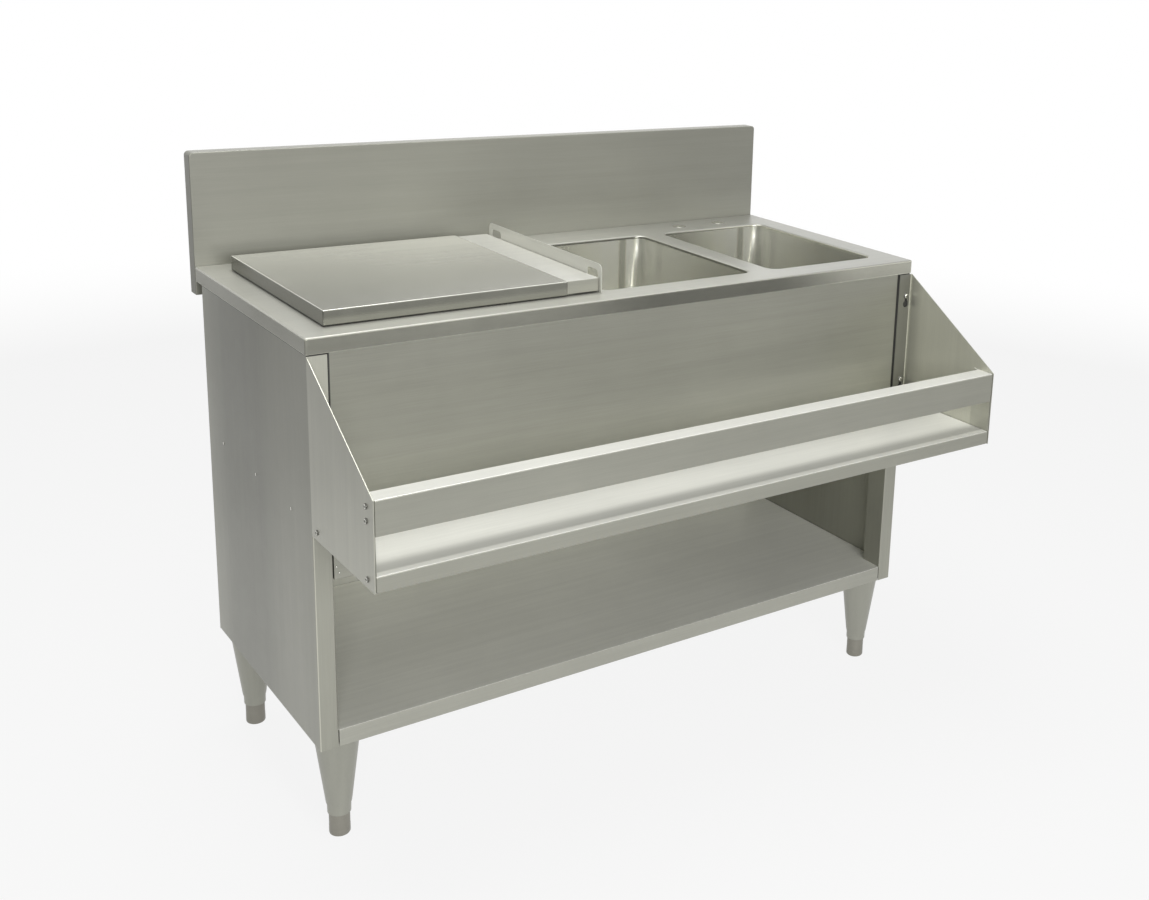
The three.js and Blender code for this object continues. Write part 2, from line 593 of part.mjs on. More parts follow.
// The splash plate's two tabs drop through slots in the worktop.
function splashPlate() {
  const outline = new THREE.Shape();
  outline.moveTo(PLATE_Y[0], FIT);
  outline.lineTo(PLATE_Y[1], FIT);
  outline.lineTo(PLATE_Y[1], PLATE_RISE - PLATE_CORNER);
  outline.absarc(PLATE_Y[1] - PLATE_CORNER, PLATE_RISE - PLATE_CORNER, PLATE_CORNER, 0, Math.PI / 2);
  outline.lineTo(PLATE_Y[0] + PLATE_CORNER, PLATE_RISE);
  outline.absarc(PLATE_Y[0] + PLATE_CORNER, PLATE_RISE - PLATE_CORNER, PLATE_CORNER, Math.PI / 2, Math.PI);
  let plate = sideways(outline, PLATE_X, 5);
  for (const y of TAB_CENTRES) {
    plate = plate.add(box(PLATE_X, [y - TAB_LENGTH / 2, y + TAB_LENGTH / 2], [-TAB_DROP, FIT + SHEET]));
  }
  for (const y of [PLATE_Y[0] + PLATE_SLOT_INSET, PLATE_Y[1] - PLATE_SLOT_INSET]) {
    const slot = roundedRectangle(
      [y - PLATE_SLOT_LENGTH / 2, y + PLATE_SLOT_LENGTH / 2],
      [PLATE_SLOT_LEVEL - PLATE_SLOT_HEIGHT / 2, PLATE_SLOT_LEVEL + PLATE_SLOT_HEIGHT / 2],
      PLATE_SLOT_HEIGHT / 3);
    plate = plate.subtract(sideways(slot, grow(PLATE_X, CUT), 4));
  }
  return plate;
}

add('bin_lid', binLid());
add('cover_strip', coverStrip());
add('splash_plate', splashPlate());

// ---- Cabinet ----

const placeX = (side, x) => (side === 'left' ? x : LENGTH - x);

function leftSidePanel() {
  const z = [CABINET_Z, UNDER_TOP];
  const skin = box([BODY_X, BODY_X + SHEET], [BODY_Y, BACK_Y], z);
  const stile = box([BODY_X, STILE_END], [BODY_Y, BODY_Y + SHEET], z);
  const inward = box(
    [STILE_END - SHEET, STILE_END], [BODY_Y, BODY_Y + STILE_RETURN], [SHELF_Z + FIT, UNDER_TOP]);
  const back = box([BODY_X, BODY_X + SIDE_RETURN], [BACK_Y - SHEET, BACK_Y], z);
  const low = box([BODY_X, BODY_X + LOW_RETURN], [BODY_Y, BACK_Y], [CABINET_Z, CABINET_Z + SHEET]);
  let panel = skin.add(stile).add(inward).add(back).add(low);
  for (const level of HANGER_LEVELS) {
    const bore = HANGER_SHANK + FIT;
    const depth = SHEET + 2 * CUT;
    const at = new THREE.Vector3(HANGER_INSET, BODY_Y - CUT, -level);
    panel = panel.subtract(screw([[0, 0], [bore, 0], [bore, depth], [0, depth]], at, BACKWARDS));
  }
  return panel;
}

function rearPanel() {
  const x = grow([0, LENGTH], -(BODY_X + SHEET + FIT));
  const front = BACK_Y - 2 * SHEET - FIT;
  return box(x, [front, front + SHEET], [CABINET_Z + SHEET + FIT, UNDER_TOP]);
}

function apron() {
  const x = grow([0, LENGTH], -(STILE_END + SEAM));
  const y = [BODY_Y, BODY_Y + APRON_RETURN];
  return box(x, y, [-APRON_DROP, UNDER_TOP])
    .subtract(box(grow(x, -SHEET), [y[0] + SHEET, y[1] + CUT], [-APRON_DROP + SHEET, UNDER_TOP + CUT]));
}

function shelf() {
  const x = grow([0, LENGTH], -(BODY_X + SHEET + FIT));
  const lipX = grow([0, LENGTH], -(STILE_END + SEAM));
  const y = [BODY_Y + SHEET + FIT, BACK_Y - 2 * SHEET - 2 * FIT];
  const sheet = [SHELF_Z - SHEET, SHELF_Z];
  const flange = [SHELF_Z - SHELF_FLANGE, SHELF_Z];
  return box(x, y, flange)
    .subtract(box(grow(x, -SHEET), [y[0] - CUT, y[1] - SHEET], [flange[0] - CUT, SHELF_Z - SHEET]))
    .add(box(lipX, [BODY_Y, y[0] + SHEET], sheet))
    .add(box(lipX, [BODY_Y, BODY_Y + SHEET], [CABINET_Z, SHELF_Z]));
}

add('side_panel_left', leftSidePanel());
add('side_panel_right', mirrorImage(leftSidePanel()));
add('rear_panel', rearPanel());
add('apron', apron());
add('shelf', shelf());

// ---- Legs, their channels, nuts and feet ----

const channelX = [BODY_X + SHEET + FIT + SHEET + FIT, BODY_X + SHEET + FIT + SHEET + FIT + CHANNEL_WIDTH];
const channelY = [BODY_Y + SHEET + CHANNEL_TO_LIP, BACK_Y - 2 * SHEET - 2 * FIT - SHEET - FIT];
const channelZ = [CABINET_Z + SHEET + FIT, SHELF_Z - SHEET - FIT];
const legTop = channelZ[0] - FIT;
const legEnd = CABINET_Z - LEG_LENGTH;
const legY = { front: LEG_INSET, rear: BACK_Y - LEG_INSET };
const nutPlateZ = legEnd + FOOT_INSIDE + FOOT_UP + PLATE_OVER_FOOT;

function leftLegChannel() {
  const inside = box(
    grow(channelX, -CHANNEL_SHEET), grow(channelY, CUT), [channelZ[0] + CHANNEL_SHEET, SHELF_Z]);
  let channel = box(channelX, channelY, channelZ).subtract(inside);
  for (const y of Object.values(legY)) {
    channel = channel.subtract(rod(SPINDLE_RADIUS + FIT, LEG_INSET, y, grow(channelZ, CUT)));
  }
  return channel;
}

// A hollow tapered leg: closed crown with a stud, threaded plate part way down, open lower end.
function leg(x, y) {
  const taper = (LEG_TOP_RADIUS - LEG_END_RADIUS) / (legTop - legEnd);
  const outside = (z) => LEG_END_RADIUS + taper * (z - legEnd);
  const plateTop = nutPlateZ + LEG_NUT_PLATE;
  const ceiling = legTop - LEG_CROWN;
  const bore = LEG_END_RADIUS - LEG_WALL;
  return turned([
    [0, ceiling], [outside(ceiling) - LEG_WALL, ceiling], [outside(plateTop) - LEG_WALL, plateTop],
    [SPINDLE_RADIUS + FIT, plateTop], [SPINDLE_RADIUS + FIT, nutPlateZ], [bore, nutPlateZ], [bore, legEnd],
    [LEG_END_RADIUS, legEnd], [LEG_TOP_RADIUS, legTop], [SPINDLE_RADIUS, legTop],
    [SPINDLE_RADIUS, legTop + STUD_LENGTH], [0, legTop + STUD_LENGTH],
  ], x, y, 0);
}

function legNut(x, y) {
  const base = channelZ[0] + CHANNEL_SHEET + FIT;
  return rod(LEG_NUT_RADIUS, x, y, [base, base + LEG_NUT_HEIGHT], 6)
    .subtract(rod(SPINDLE_RADIUS + FIT, x, y, [base - CUT, base + LEG_NUT_HEIGHT + CUT]));
}

function foot(x, y) {
  const floor = legEnd - FOOT_SHOWING;
  const radius = LEG_END_RADIUS - LEG_WALL - FIT;
  const barrelTop = legEnd + FOOT_INSIDE;
  const spindleTop = nutPlateZ + LEG_NUT_PLATE + FOOT_DOWN + SPINDLE_SPARE;
  return turned([
    [0, floor], [radius - 2, floor], [radius, floor + 2], [radius, barrelTop], [SPINDLE_RADIUS, barrelTop],
    [SPINDLE_RADIUS, spindleTop], [0, spindleTop],
  ], x, y, 0);
}

add('leg_channel_left', leftLegChannel());
add('leg_channel_right', mirrorImage(leftLegChannel()));
for (const side of ['left', 'right']) {
  for (const [end, y] of Object.entries(legY)) {
    const x = placeX(side, LEG_INSET);
    add(`leg_${end}_${side}`, leg(x, y));
    add(`leg_nut_${end}_${side}`, legNut(x, y), brightSteel);
    add(`foot_${end}_${side}`, foot(x, y), footSteel);
  }
}

// ---- Speed rail ----

const bandZ = [-RAIL_SHOULDER - BAND_HEIGHT, -RAIL_SHOULDER];
const trayZ = [-RAIL_BOTTOM + TRAY_LIFT, -RAIL_BOTTOM + TRAY_LIFT + TRAY_LIP];
const frontScrewY = -RAIL_REACH + SCREW_INSET;
const railScrews = {
  band_upper: [frontScrewY, bandZ[1] - BAND_SCREW_EDGE],
  band_lower: [frontScrewY, bandZ[0] + BAND_SCREW_EDGE],
  tray_front: [frontScrewY, middle(trayZ)],
  tray_rear: [-REAR_SCREW_INSET, middle(trayZ)],
};

// Cuts the named screws' holes through the left end of a piece.
function drilled(piece, names) {
  const bore = SCREW_SHANK + FIT;
  for (const name of names) {
    const [y, z] = railScrews[name];
    const at = new THREE.Vector3(-CUT, y, z);
    const hole = [[0, 0], [bore, 0], [bore, SCREW_LENGTH], [0, SCREW_LENGTH]];
    piece = piece.subtract(screw(hole, at, RIGHTWARDS));
  }
  return piece;
}
const drilledAtBothEnds = (piece, names) => mirrorImage(drilled(mirrorImage(drilled(piece, names)), names));

// A keyhole: a slot for the screw's shank over a round hole that lets its head through.
function keyhole(level) {
  const x = HANGER_INSET;
  const slot = HANGER_SHANK + KEYHOLE_SLACK;
  const top = -level + slot;
  const narrow = roundedRectangle([x - slot, x + slot], [-level - KEYHOLE_DROP, top], slot * 0.98);
  const wide = new THREE.Shape();
  wide.absarc(x, -level - KEYHOLE_DROP, HANGER_HEAD + KEYHOLE_CLEARANCE, 0, 2 * Math.PI);
  const y = [RAIL_FACE - CUT, RAIL_BACK + CUT];
  return frontways(narrow, y, 4).add(frontways(wide, y, 8));
}

function leftRailPlate() {
  const outline = new THREE.Shape();
  outline.moveTo(RAIL_BACK, -RAIL_BOTTOM);
  outline.lineTo(RAIL_BACK, -RAIL_TOP);
  outline.lineTo(RAIL_FACE, -RAIL_TOP);
  outline.lineTo(-RAIL_REACH, -RAIL_SHOULDER);
  outline.lineTo(-RAIL_REACH, -RAIL_BOTTOM);
  let plate = sideways(outline, [0, RAIL_PLATE]);
  plate = plate.add(box([0, STILE_END], [RAIL_FACE, RAIL_BACK], [-RAIL_BOTTOM, -RAIL_TOP]));
  for (const level of HANGER_LEVELS) {
    plate = plate.subtract(keyhole(level));
  }
  return drilled(plate, Object.keys(railScrews));
}

function railBand() {
  const x = [RAIL_INSIDE, LENGTH - RAIL_INSIDE];
  const front = -RAIL_REACH;
  let band = box(x, [front, front + SHEET], bandZ)
    .add(box(x, [front, front + BAND_FLANGE], [bandZ[1] - SHEET, bandZ[1]]));
  for (const tab of [[x[0], x[0] + SHEET], [x[1] - SHEET, x[1]]]) {
    band = band.add(box(tab, [front, front + BAND_TAB], [trayZ[1] + FIT, bandZ[1]]));
  }
  return drilledAtBothEnds(band, ['band_upper', 'band_lower']);
}

function railTray() {
  const x = [RAIL_INSIDE, LENGTH - RAIL_INSIDE];
  const y = [-RAIL_REACH, RAIL_FACE - FIT];
  const tray = box(x, y, trayZ)
    .subtract(box(grow(x, -SHEET), grow(y, -SHEET), [trayZ[0] - CUT, trayZ[1] - SHEET]));
  return drilledAtBothEnds(tray, ['tray_front', 'tray_rear']);
}

add('rail_plate_left', leftRailPlate());
add('rail_plate_right', mirrorImage(leftRailPlate()));
add('rail_band', railBand());
add('rail_tray', railTray());

// ---- Rail fasteners ----

// A shouldered screw: head, shank through the rail's flange, collar against the stile, threaded tail.
function hanger(side, level) {
  const headFace = RAIL_FACE - FIT - HANGER_HEAD_HEIGHT;
  const along = (y) => y - headFace;
  const profile = [
    [0, 0], [HANGER_HEAD * 0.75, 0], [HANGER_HEAD, HANGER_HEAD_HEIGHT * 0.4],
    [HANGER_HEAD, HANGER_HEAD_HEIGHT],
    [HANGER_SHANK, HANGER_HEAD_HEIGHT], [HANGER_SHANK, along(RAIL_BACK + FIT)],
    [HANGER_COLLAR, along(RAIL_BACK + FIT)], [HANGER_COLLAR, along(BODY_Y - FIT)],
    [HANGER_SHANK, along(BODY_Y - FIT)], [HANGER_SHANK, along(BODY_Y + HANGER_TAIL)],
    [0, along(BODY_Y + HANGER_TAIL)],
  ];
  return screw(profile, new THREE.Vector3(placeX(side, HANGER_INSET), headFace, -level), BACKWARDS);
}

function panScrew(side, y, z) {
  const profile = [
    [0, 0], [SCREW_HEAD * 0.7, 0], [SCREW_HEAD, SCREW_HEAD_HEIGHT * 0.5], [SCREW_HEAD, SCREW_HEAD_HEIGHT],
    [SCREW_SHANK, SCREW_HEAD_HEIGHT], [SCREW_SHANK, SCREW_HEAD_HEIGHT + SCREW_LENGTH],
    [0, SCREW_HEAD_HEIGHT + SCREW_LENGTH],
  ];
  const at = new THREE.Vector3(placeX(side, -FIT - SCREW_HEAD_HEIGHT), y, z);
  return screw(profile, at, side === 'left' ? RIGHTWARDS : LEFTWARDS);
}

for (const side of ['left', 'right']) {
  HANGER_LEVELS.forEach((level, i) => {
    add(`rail_hanger_${i === 0 ? 'upper' : 'lower'}_${side}`, hanger(side, level), brightSteel);
  });
  for (const [name, [y, z]] of Object.entries(railScrews)) {
    add(`screw_${name}_${side}`, panScrew(side, y, z), brightSteel);
  }
}

// ---- The whole, centred over the origin and standing on the floor ----

const part = new THREE.Group();
unit.position.set(-LENGTH / 2, (RAIL_REACH - DEPTH - SPLASH_THICKNESS) / 2, TOP_HEIGHT);
part.add(unit);

export default part;
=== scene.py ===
import math

import bmesh
import bpy
from mathutils import Matrix, Vector
from mathutils.geometry import tessellate_polygon


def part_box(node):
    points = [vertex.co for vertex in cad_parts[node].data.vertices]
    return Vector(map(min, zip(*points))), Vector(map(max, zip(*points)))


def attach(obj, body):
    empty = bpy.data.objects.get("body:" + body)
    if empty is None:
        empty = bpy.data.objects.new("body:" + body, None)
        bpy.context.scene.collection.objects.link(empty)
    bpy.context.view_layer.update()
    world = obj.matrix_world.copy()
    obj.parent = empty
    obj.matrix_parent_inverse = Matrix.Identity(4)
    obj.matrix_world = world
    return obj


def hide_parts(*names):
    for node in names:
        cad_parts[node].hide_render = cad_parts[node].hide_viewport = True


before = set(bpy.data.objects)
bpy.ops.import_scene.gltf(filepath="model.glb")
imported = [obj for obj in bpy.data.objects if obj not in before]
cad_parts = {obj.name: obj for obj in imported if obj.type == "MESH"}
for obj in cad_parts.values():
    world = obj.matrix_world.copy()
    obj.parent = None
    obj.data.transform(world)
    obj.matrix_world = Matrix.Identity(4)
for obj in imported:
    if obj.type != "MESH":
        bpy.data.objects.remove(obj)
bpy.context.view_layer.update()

# ---------------------------------------------------------------------------------------------------------
# Studio: the photograph's camera, a white floor that goes over into a white surround, and wide soft lamps.
# The camera sees the floor white all over. In the steel's gloss a band of it round the unit is dark, as the
# room in front of the real unit is.

camera_place = (-1.3128, -2.1414, 1.4451)
camera_turn, camera_drop, camera_roll = (math.radians(a) for a in (-38.2286, 14.252, 2.6576))
camera = bpy.data.objects.new("camera", bpy.data.cameras.new("camera"))
bpy.context.scene.collection.objects.link(camera)
bpy.context.scene.camera = camera
camera.matrix_world = (
    Matrix.Translation(camera_place)
    @ Matrix.Rotation(camera_turn, 4, "Z")
    @ Matrix.Rotation(math.pi / 2 - camera_drop, 4, "X")
    @ Matrix.Rotation(camera_roll, 4, "Z")
)
camera.data.sensor_width = 36
camera.data.lens = 44.367
camera.data.shift_x = -0.16681
camera.data.shift_y = -0.12166
camera.data.clip_end = 60
bpy.context.scene.view_settings.view_transform = "Standard"


def node_maker(tree):
    """A short word for adding a node to a tree, with what its inputs hold or are joined to."""
    def put(kind, inputs=None, **settings):
        node = tree.nodes.new(kind)
        for key, value in settings.items():
            setattr(node, key, value)
        for key, value in (inputs or {}).items():
            if isinstance(value, bpy.types.NodeSocket):
                tree.links.new(value, node.inputs[key])
            else:
                node.inputs[key].default_value = value
        return node

    return put


def emptied(owner):
    """Empties the node tree of a material or the world, and gives the word that adds nodes to it."""
    owner.use_nodes = True
    owner.node_tree.nodes.clear()
    return node_maker(owner.node_tree)


def worked_out(put, operation, *values):
    """Adds, multiplies or compares values, one after another."""
    result = values[0]
    for value in values[1:]:
        result = put("ShaderNodeMath", {0: result, 1: value}, operation=operation).outputs[0]
    return result


def eased(put, value, start, end, first=0.0, last=1.0):
    """Goes smoothly from first to last while a value goes from start to end."""
    return put("ShaderNodeMapRange", {"Value": value, "From Min": start, "From Max": end,
                                      "To Min": first, "To Max": last},
               interpolation_type="SMOOTHSTEP").outputs[0]


def looked_at(put):
    """1 where the camera looks, straight, in a gloss or through something clear, and 0 for other light."""
    path = put("ShaderNodeLightPath").outputs
    kinds = [path[f"Is {kind} Ray"] for kind in ("Camera", "Glossy", "Transmission")]
    return worked_out(put, "MAXIMUM", *kinds)


surround = bpy.data.worlds.new("surround")
bpy.context.scene.world = surround
put = emptied(surround)
fill = put("ShaderNodeBackground", {"Color": (1, 1, 1, 1), "Strength": 0.12})
white = put("ShaderNodeBackground", {"Color": (1, 1, 1, 1), "Strength": 1.0})
both = put("ShaderNodeMixShader", {0: looked_at(put), 1: fill.outputs[0], 2: white.outputs[0]})
put("ShaderNodeOutputWorld", {"Surface": both.outputs[0]})

floor_mesh = bpy.data.meshes.new("floor")
floor_mesh.from_pydata([(-30, -30, 0), (30, -30, 0), (30, 30, 0), (-30, 30, 0)], [], [(0, 1, 2, 3)])
floor = bpy.data.objects.new("floor", floor_mesh)
bpy.context.scene.collection.objects.link(floor)
floor_paint = bpy.data.materials.new("floor_paint")
put = emptied(floor_paint)
place = put("ShaderNodeTexCoord").outputs["Object"]
away_from_camera, along_unit = (0.616, 0.788, 0), (0.996, -0.087, 0)
reach = put("ShaderNodeVectorMath", {0: place}, operation="LENGTH").outputs["Value"]
away = put("ShaderNodeVectorMath", {0: place, 1: away_from_camera}, operation="DOT_PRODUCT").outputs["Value"]
along = put("ShaderNodeVectorMath", {0: place, 1: along_unit}, operation="DOT_PRODUCT").outputs["Value"]
beneath, far = eased(put, reach, 3.0, 1.3), eased(put, reach, 3.8, 5.5)
behind = worked_out(put, "MULTIPLY", eased(put, away, -0.2, 0.9), eased(put, along, -2.2, -1.2))
from_camera = put("ShaderNodeLightPath").outputs["Is Camera Ray"]
pale = worked_out(put, "MAXIMUM", beneath, behind, far, from_camera)
glow = put("ShaderNodeMapRange", {"Value": pale, "To Min": 0.2}).outputs[0]
fade = put("ShaderNodeMapRange", {"Value": eased(put, reach, 1.5, 4.5), "To Min": 0.76}).outputs[0]
share = worked_out(put, "MULTIPLY", fade, looked_at(put))
share = worked_out(put, "MAXIMUM", share, worked_out(put, "MULTIPLY", from_camera, 0.88))
lit = put("ShaderNodeBsdfDiffuse", {"Color": (0.50, 0.50, 0.495, 1)})
clear = put("ShaderNodeEmission", {"Color": (1, 1, 1, 1), "Strength": glow})
both = put("ShaderNodeMixShader", {0: share, 1: lit.outputs[0], 2: clear.outputs[0]})
put("ShaderNodeOutputMaterial", {"Surface": both.outputs[0]})
floor_mesh.materials.append(floor_paint)

for lamp_name, watts, size, lamp_place, aim in (
    ("lamp_front", 92, (2.4, 1.1), (-1.0, -3.3, 1.6), (0, 0.1, 0.35)),
    ("lamp_overhead", 58, (2.2, 1.3), (-0.3, 0.1, 3.0), (0, 0, 0.6)),
    ("lamp_rear", 4, (3.6, 1.2), (1.6, 2.8, 2.0), (0, 0, 0.8)),
):
    lamp = bpy.data.objects.new(lamp_name, bpy.data.lights.new(lamp_name, "AREA"))
    bpy.context.scene.collection.objects.link(lamp)
    lamp.data.shape = "RECTANGLE"
    lamp.data.size, lamp.data.size_y = size
    lamp.data.energy = watts
    lamp.visible_camera = False
    lamp.location = lamp_place
    lamp.rotation_euler = (Vector(aim) - Vector(lamp_place)).to_track_quat("-Z", "Y").to_euler()

# ---------------------------------------------------------------------------------------------------------
# Feet: turned stainless barrels that screw up and down in the legs' open ends. Their flat bottoms stand on
# the floor, with a rounded lower edge and fine rings left by the lathe.


def stainless(name, tone, rough, grain, cross=None, streak=1.0, wave=1.0, metal=0.65, painted_light_ramps=()):
    """Ground stainless steel. The grinding lines follow the grain axis, and the cross axis on faces square
    to it. streak is their strength, and wave how far a flat panel's shine wanders, as thin sheet's does.
    painted_light_ramps are painted light and shade, changes of tone along an axis: the axis, the places where
    each starts and ends, and both strengths."""
    paint = bpy.data.materials.new(name)
    put = emptied(paint)
    coordinates = put("ShaderNodeTexCoord").outputs
    place = coordinates["Object"]

    def ground(axis, across, along, detail):
        scale = [across] * 3
        scale["XYZ".index(axis)] = along
        laid = put("ShaderNodeMapping", {"Vector": place, "Scale": scale})
        return put("ShaderNodeTexNoise", {"Vector": laid.outputs[0], "Scale": 1.0, "Detail": detail,
                                          "Roughness": 0.65}).outputs[0]

    def between(value, start, end, least, most):
        return put("ShaderNodeMapRange", {"Value": value, "From Min": start, "From Max": end,
                                          "To Min": least, "To Max": most}).outputs[0]

    lines, bands = ground(grain, 1500.0, 14.0, 3.0), ground(grain, 70.0, 1.6, 2.0)
    if cross:
        normal = put("ShaderNodeSeparateXYZ", {0: coordinates["Normal"]}).outputs["XYZ".index(grain)]
        facing = put("ShaderNodeMath", {0: normal}, operation="ABSOLUTE").outputs[0]
        square = worked_out(put, "GREATER_THAN", facing, 0.7)
        cross_lines, cross_bands = ground(cross, 1500.0, 14.0, 3.0), ground(cross, 70.0, 1.6, 2.0)
        lines = put("ShaderNodeMix", {0: square, 2: lines, 3: cross_lines}).outputs[0]
        bands = put("ShaderNodeMix", {0: square, 2: bands, 3: cross_bands}).outputs[0]
    cloud = put("ShaderNodeTexNoise", {"Vector": place, "Scale": 4.0, "Detail": 3.0}).outputs[0]
    shade = worked_out(put, "MULTIPLY", between(cloud, 0.3, 0.7, 0.96, 1.04),
                       between(lines, 0.3, 0.7, 1 - 0.05 * streak, 1 + 0.05 * streak),
                       between(bands, 0.3, 0.7, 0.97, 1.03))
    at = put("ShaderNodeSeparateXYZ", {0: place}).outputs
    for axis, start, end, first, last in painted_light_ramps:
        painted_ramp = eased(put, at["XYZ".index(axis)], start, end, first, last)
        shade = worked_out(put, "MULTIPLY", shade, painted_ramp)
    colour = put("ShaderNodeVectorMath", {0: tone, 3: shade}, operation="SCALE")
    smear = put("ShaderNodeTexNoise", {"Vector": place, "Scale": 26.0, "Detail": 5.0, "Roughness": 0.6,
                                       "Distortion": 0.8}).outputs[0]
    matt = between(smear, 0.35, 0.75, rough - 0.01 - 0.02 * streak, rough + 0.02 - 0.02 * streak)
    matt = put("ShaderNodeMath", {0: lines, 1: 0.04 * streak, 2: matt}, operation="MULTIPLY_ADD")
    ripple = put("ShaderNodeTexNoise", {"Vector": place, "Scale": 2.6, "Detail": 1.0}).outputs[0]
    ripple = put("ShaderNodeBump", {"Height": ripple, "Strength": 0.35 * wave, "Distance": 0.012})
    fine = put("ShaderNodeBump", {"Height": lines, "Strength": 0.12 * streak, "Distance": 0.0004,
                                  "Normal": ripple.outputs[0]})
    steel = put("ShaderNodeBsdfPrincipled", {"Base Color": colour.outputs[0], "Metallic": metal,
                                             "Roughness": matt.outputs[0], "Normal": fine.outputs[0]})
    put("ShaderNodeOutputMaterial", {"Surface": steel.outputs[0]})
    return paint


def looks_up(face):
    return face.normal.z > 0.6


def finished(name, mesh, paint, body, slot, *nodes, painted_light_finish=None, where=looks_up):
    """Puts a finished mesh in the scene as a piece that rides on a body and stands for CAD nodes.
    painted_light_finish is a copy of the finish, lighter for painted light or darker for painted shade, on
    some of its faces: those that look up, unless where picks others."""
    mesh.materials.clear()
    mesh.materials.append(paint)
    if painted_light_finish:
        mesh.materials.append(painted_light_finish)
    for face in mesh.polygons:
        face.material_index = 1 if painted_light_finish and where(face) else 0
    piece = bpy.data.objects.new(name, mesh)
    bpy.context.scene.collection.objects.link(piece)
    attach(piece, body)
    if nodes:
        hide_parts(*nodes)


def arc(centre, radius, start, end, parts=6):
    """Points along a round between two angles in degrees, anticlockwise where they grow."""
    angles = [math.radians(start + (end - start) * i / parts) for i in range(parts + 1)]
    return [(centre[0] + radius * math.cos(a), centre[1] + radius * math.sin(a)) for a in angles]


def thread(radius, depth, bottom, pitch, count):
    """The zigzag outline of turned rings or a screw thread, upwards: [radius, height]."""
    return [(radius - (depth if i % 2 else 0), bottom + pitch * i) for i in range(count)]


def turned_mesh(profile, centre, steps=56):
    """A lathe-turned shape about a vertical line; the profile is [radius, height] and closes on itself."""
    mesh = bpy.data.meshes.new("turned")
    shape = bmesh.new()
    rings = []
    for step in range(steps):
        angle = 2 * math.pi * step / steps
        rings.append([shape.verts.new((centre[0] + r * math.cos(angle), centre[1] + r * math.sin(angle), z))
                      for r, z in profile])
    closed = profile[0][0] > 0 or profile[-1][0] > 0
    for step in range(steps):
        here, following = rings[step], rings[(step + 1) % steps]
        for i in range(len(profile) - (0 if closed else 1)):
            j = (i + 1) % len(profile)
            shape.faces.new((here[i], following[i], following[j], here[j]))
    bmesh.ops.remove_doubles(shape, verts=shape.verts, dist=1e-6)
    bmesh.ops.dissolve_degenerate(shape, dist=1e-7, edges=shape.edges)
    bmesh.ops.recalc_face_normals(shape, faces=shape.faces)
    shape.to_mesh(mesh)
    shape.free()
    return round_shaded(mesh, 32)


def round_shaded(mesh, sharpest):
    """Shades a mesh round, but for the edges that turn by more than an angle in degrees."""
    mesh.shade_smooth()
    mesh.set_sharp_from_angle(angle=math.radians(sharpest))
    return mesh


foot_steel = stainless("foot_steel", (0.30, 0.29, 0.25), 0.36, "X", streak=0.6, wave=0.0)
corners = ("front_left", "front_right", "rear_left", "rear_right")
barrel_height, barrel_round, chamfer, stud = 0.080, 0.004, 0.0015, 0.006
for corner in corners:
    low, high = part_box("foot_" + corner)
    barrel, barrel_top = (high.x - low.x) / 2, low.z + barrel_height
    profile = ([(0, low.z)] + arc((barrel - barrel_round, low.z + barrel_round), barrel_round, -90, 0)
               + thread(barrel, 0.00025, low.z + 0.012, 0.002, 4)
               + [(barrel, barrel_top - chamfer), (barrel - chamfer, barrel_top), (stud, barrel_top)]
               + thread(stud, 0.0005, barrel_top + 0.002, 0.001, 60)
               + [(stud, high.z - 0.001), (stud - 0.001, high.z), (0, high.z)])
    finished("levelling_foot_" + corner, turned_mesh(profile, (low + high) / 2), foot_steel,
             f"foot_{corner}_body", "foot_steel", "foot_" + corner)

# ---------------------------------------------------------------------------------------------------------
# Legs: hollow tapered legs, spun from stainless tube, with a closed crown and a stud that goes up through
# the channel under the shelf. The lower end is open, with its edge turned smooth, for the foot.

leg_steel = stainless("leg_steel", (0.38, 0.38, 0.33), 0.34, "Z", streak=0.7, wave=0.0)
mouth, leg_wall, socket, stud_height = 0.019, 0.0015, 0.09, 0.016
for corner in corners:
    low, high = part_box("leg_" + corner)
    top, crown = (high.x - low.x) / 2, high.z - stud_height
    profile = ([(0, crown - 0.003), (top - 0.0018, crown - 0.003), (mouth - leg_wall, low.z + socket),
                (mouth - leg_wall, low.z), (mouth - 0.0005, low.z), (mouth, low.z + 0.0006),
                (mouth + 0.0004, low.z + 0.014), (mouth + (top - mouth) * 0.115, low.z + 0.02),
                (top - 0.0005, crown - 0.006), (top, crown - 0.004), (top, crown - 0.001),
                (top - 0.001, crown), (stud, crown)]
               + thread(stud, 0.0005, crown + 0.002, 0.001, 12) + [(stud - 0.0005, high.z), (0, high.z)])
    finished("tapered_leg_" + corner, turned_mesh(profile, (low + high) / 2), leg_steel, "cabinet",
             "brushed_steel", "leg_" + corner)

# ---------------------------------------------------------------------------------------------------------
# Leg channels and nuts: formed channels under the shelf's ends, which the legs' studs go through. The nuts
# sit inside the channels. Their own solids carry a duller, ungrained steel.


def coated(node, paint):
    """Gives a solid that shows as it is its finish."""
    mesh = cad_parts[node].data
    mesh.materials.clear()
    mesh.materials.append(paint)


plain_steel = stainless("plain_steel", (0.30, 0.295, 0.26), 0.42, "Y", streak=0.5, wave=0.4)
turned_steel = stainless("turned_steel", (0.50, 0.495, 0.45), 0.20, "X", streak=0.3, wave=0.0, metal=0.85)
for side in ("left", "right"):
    coated("leg_channel_" + side, plain_steel)
for corner in corners:
    coated("leg_nut_" + corner, turned_steel)

# ---------------------------------------------------------------------------------------------------------
# Side panels: one stainless sheet each, folded round into the front stile and its inward return, and into
# narrow returns at the back and the bottom. The grain stands upright. The stiles' faces behind the rail's
# flanges carry painted shade, almost black, for the shadow in the closed seam there.


def outlines(panel):
    """A flat panel's outline and the holes in it; a plain panel is its outline alone."""
    return panel if isinstance(panel[0][0], (tuple, list, Vector)) else [panel]


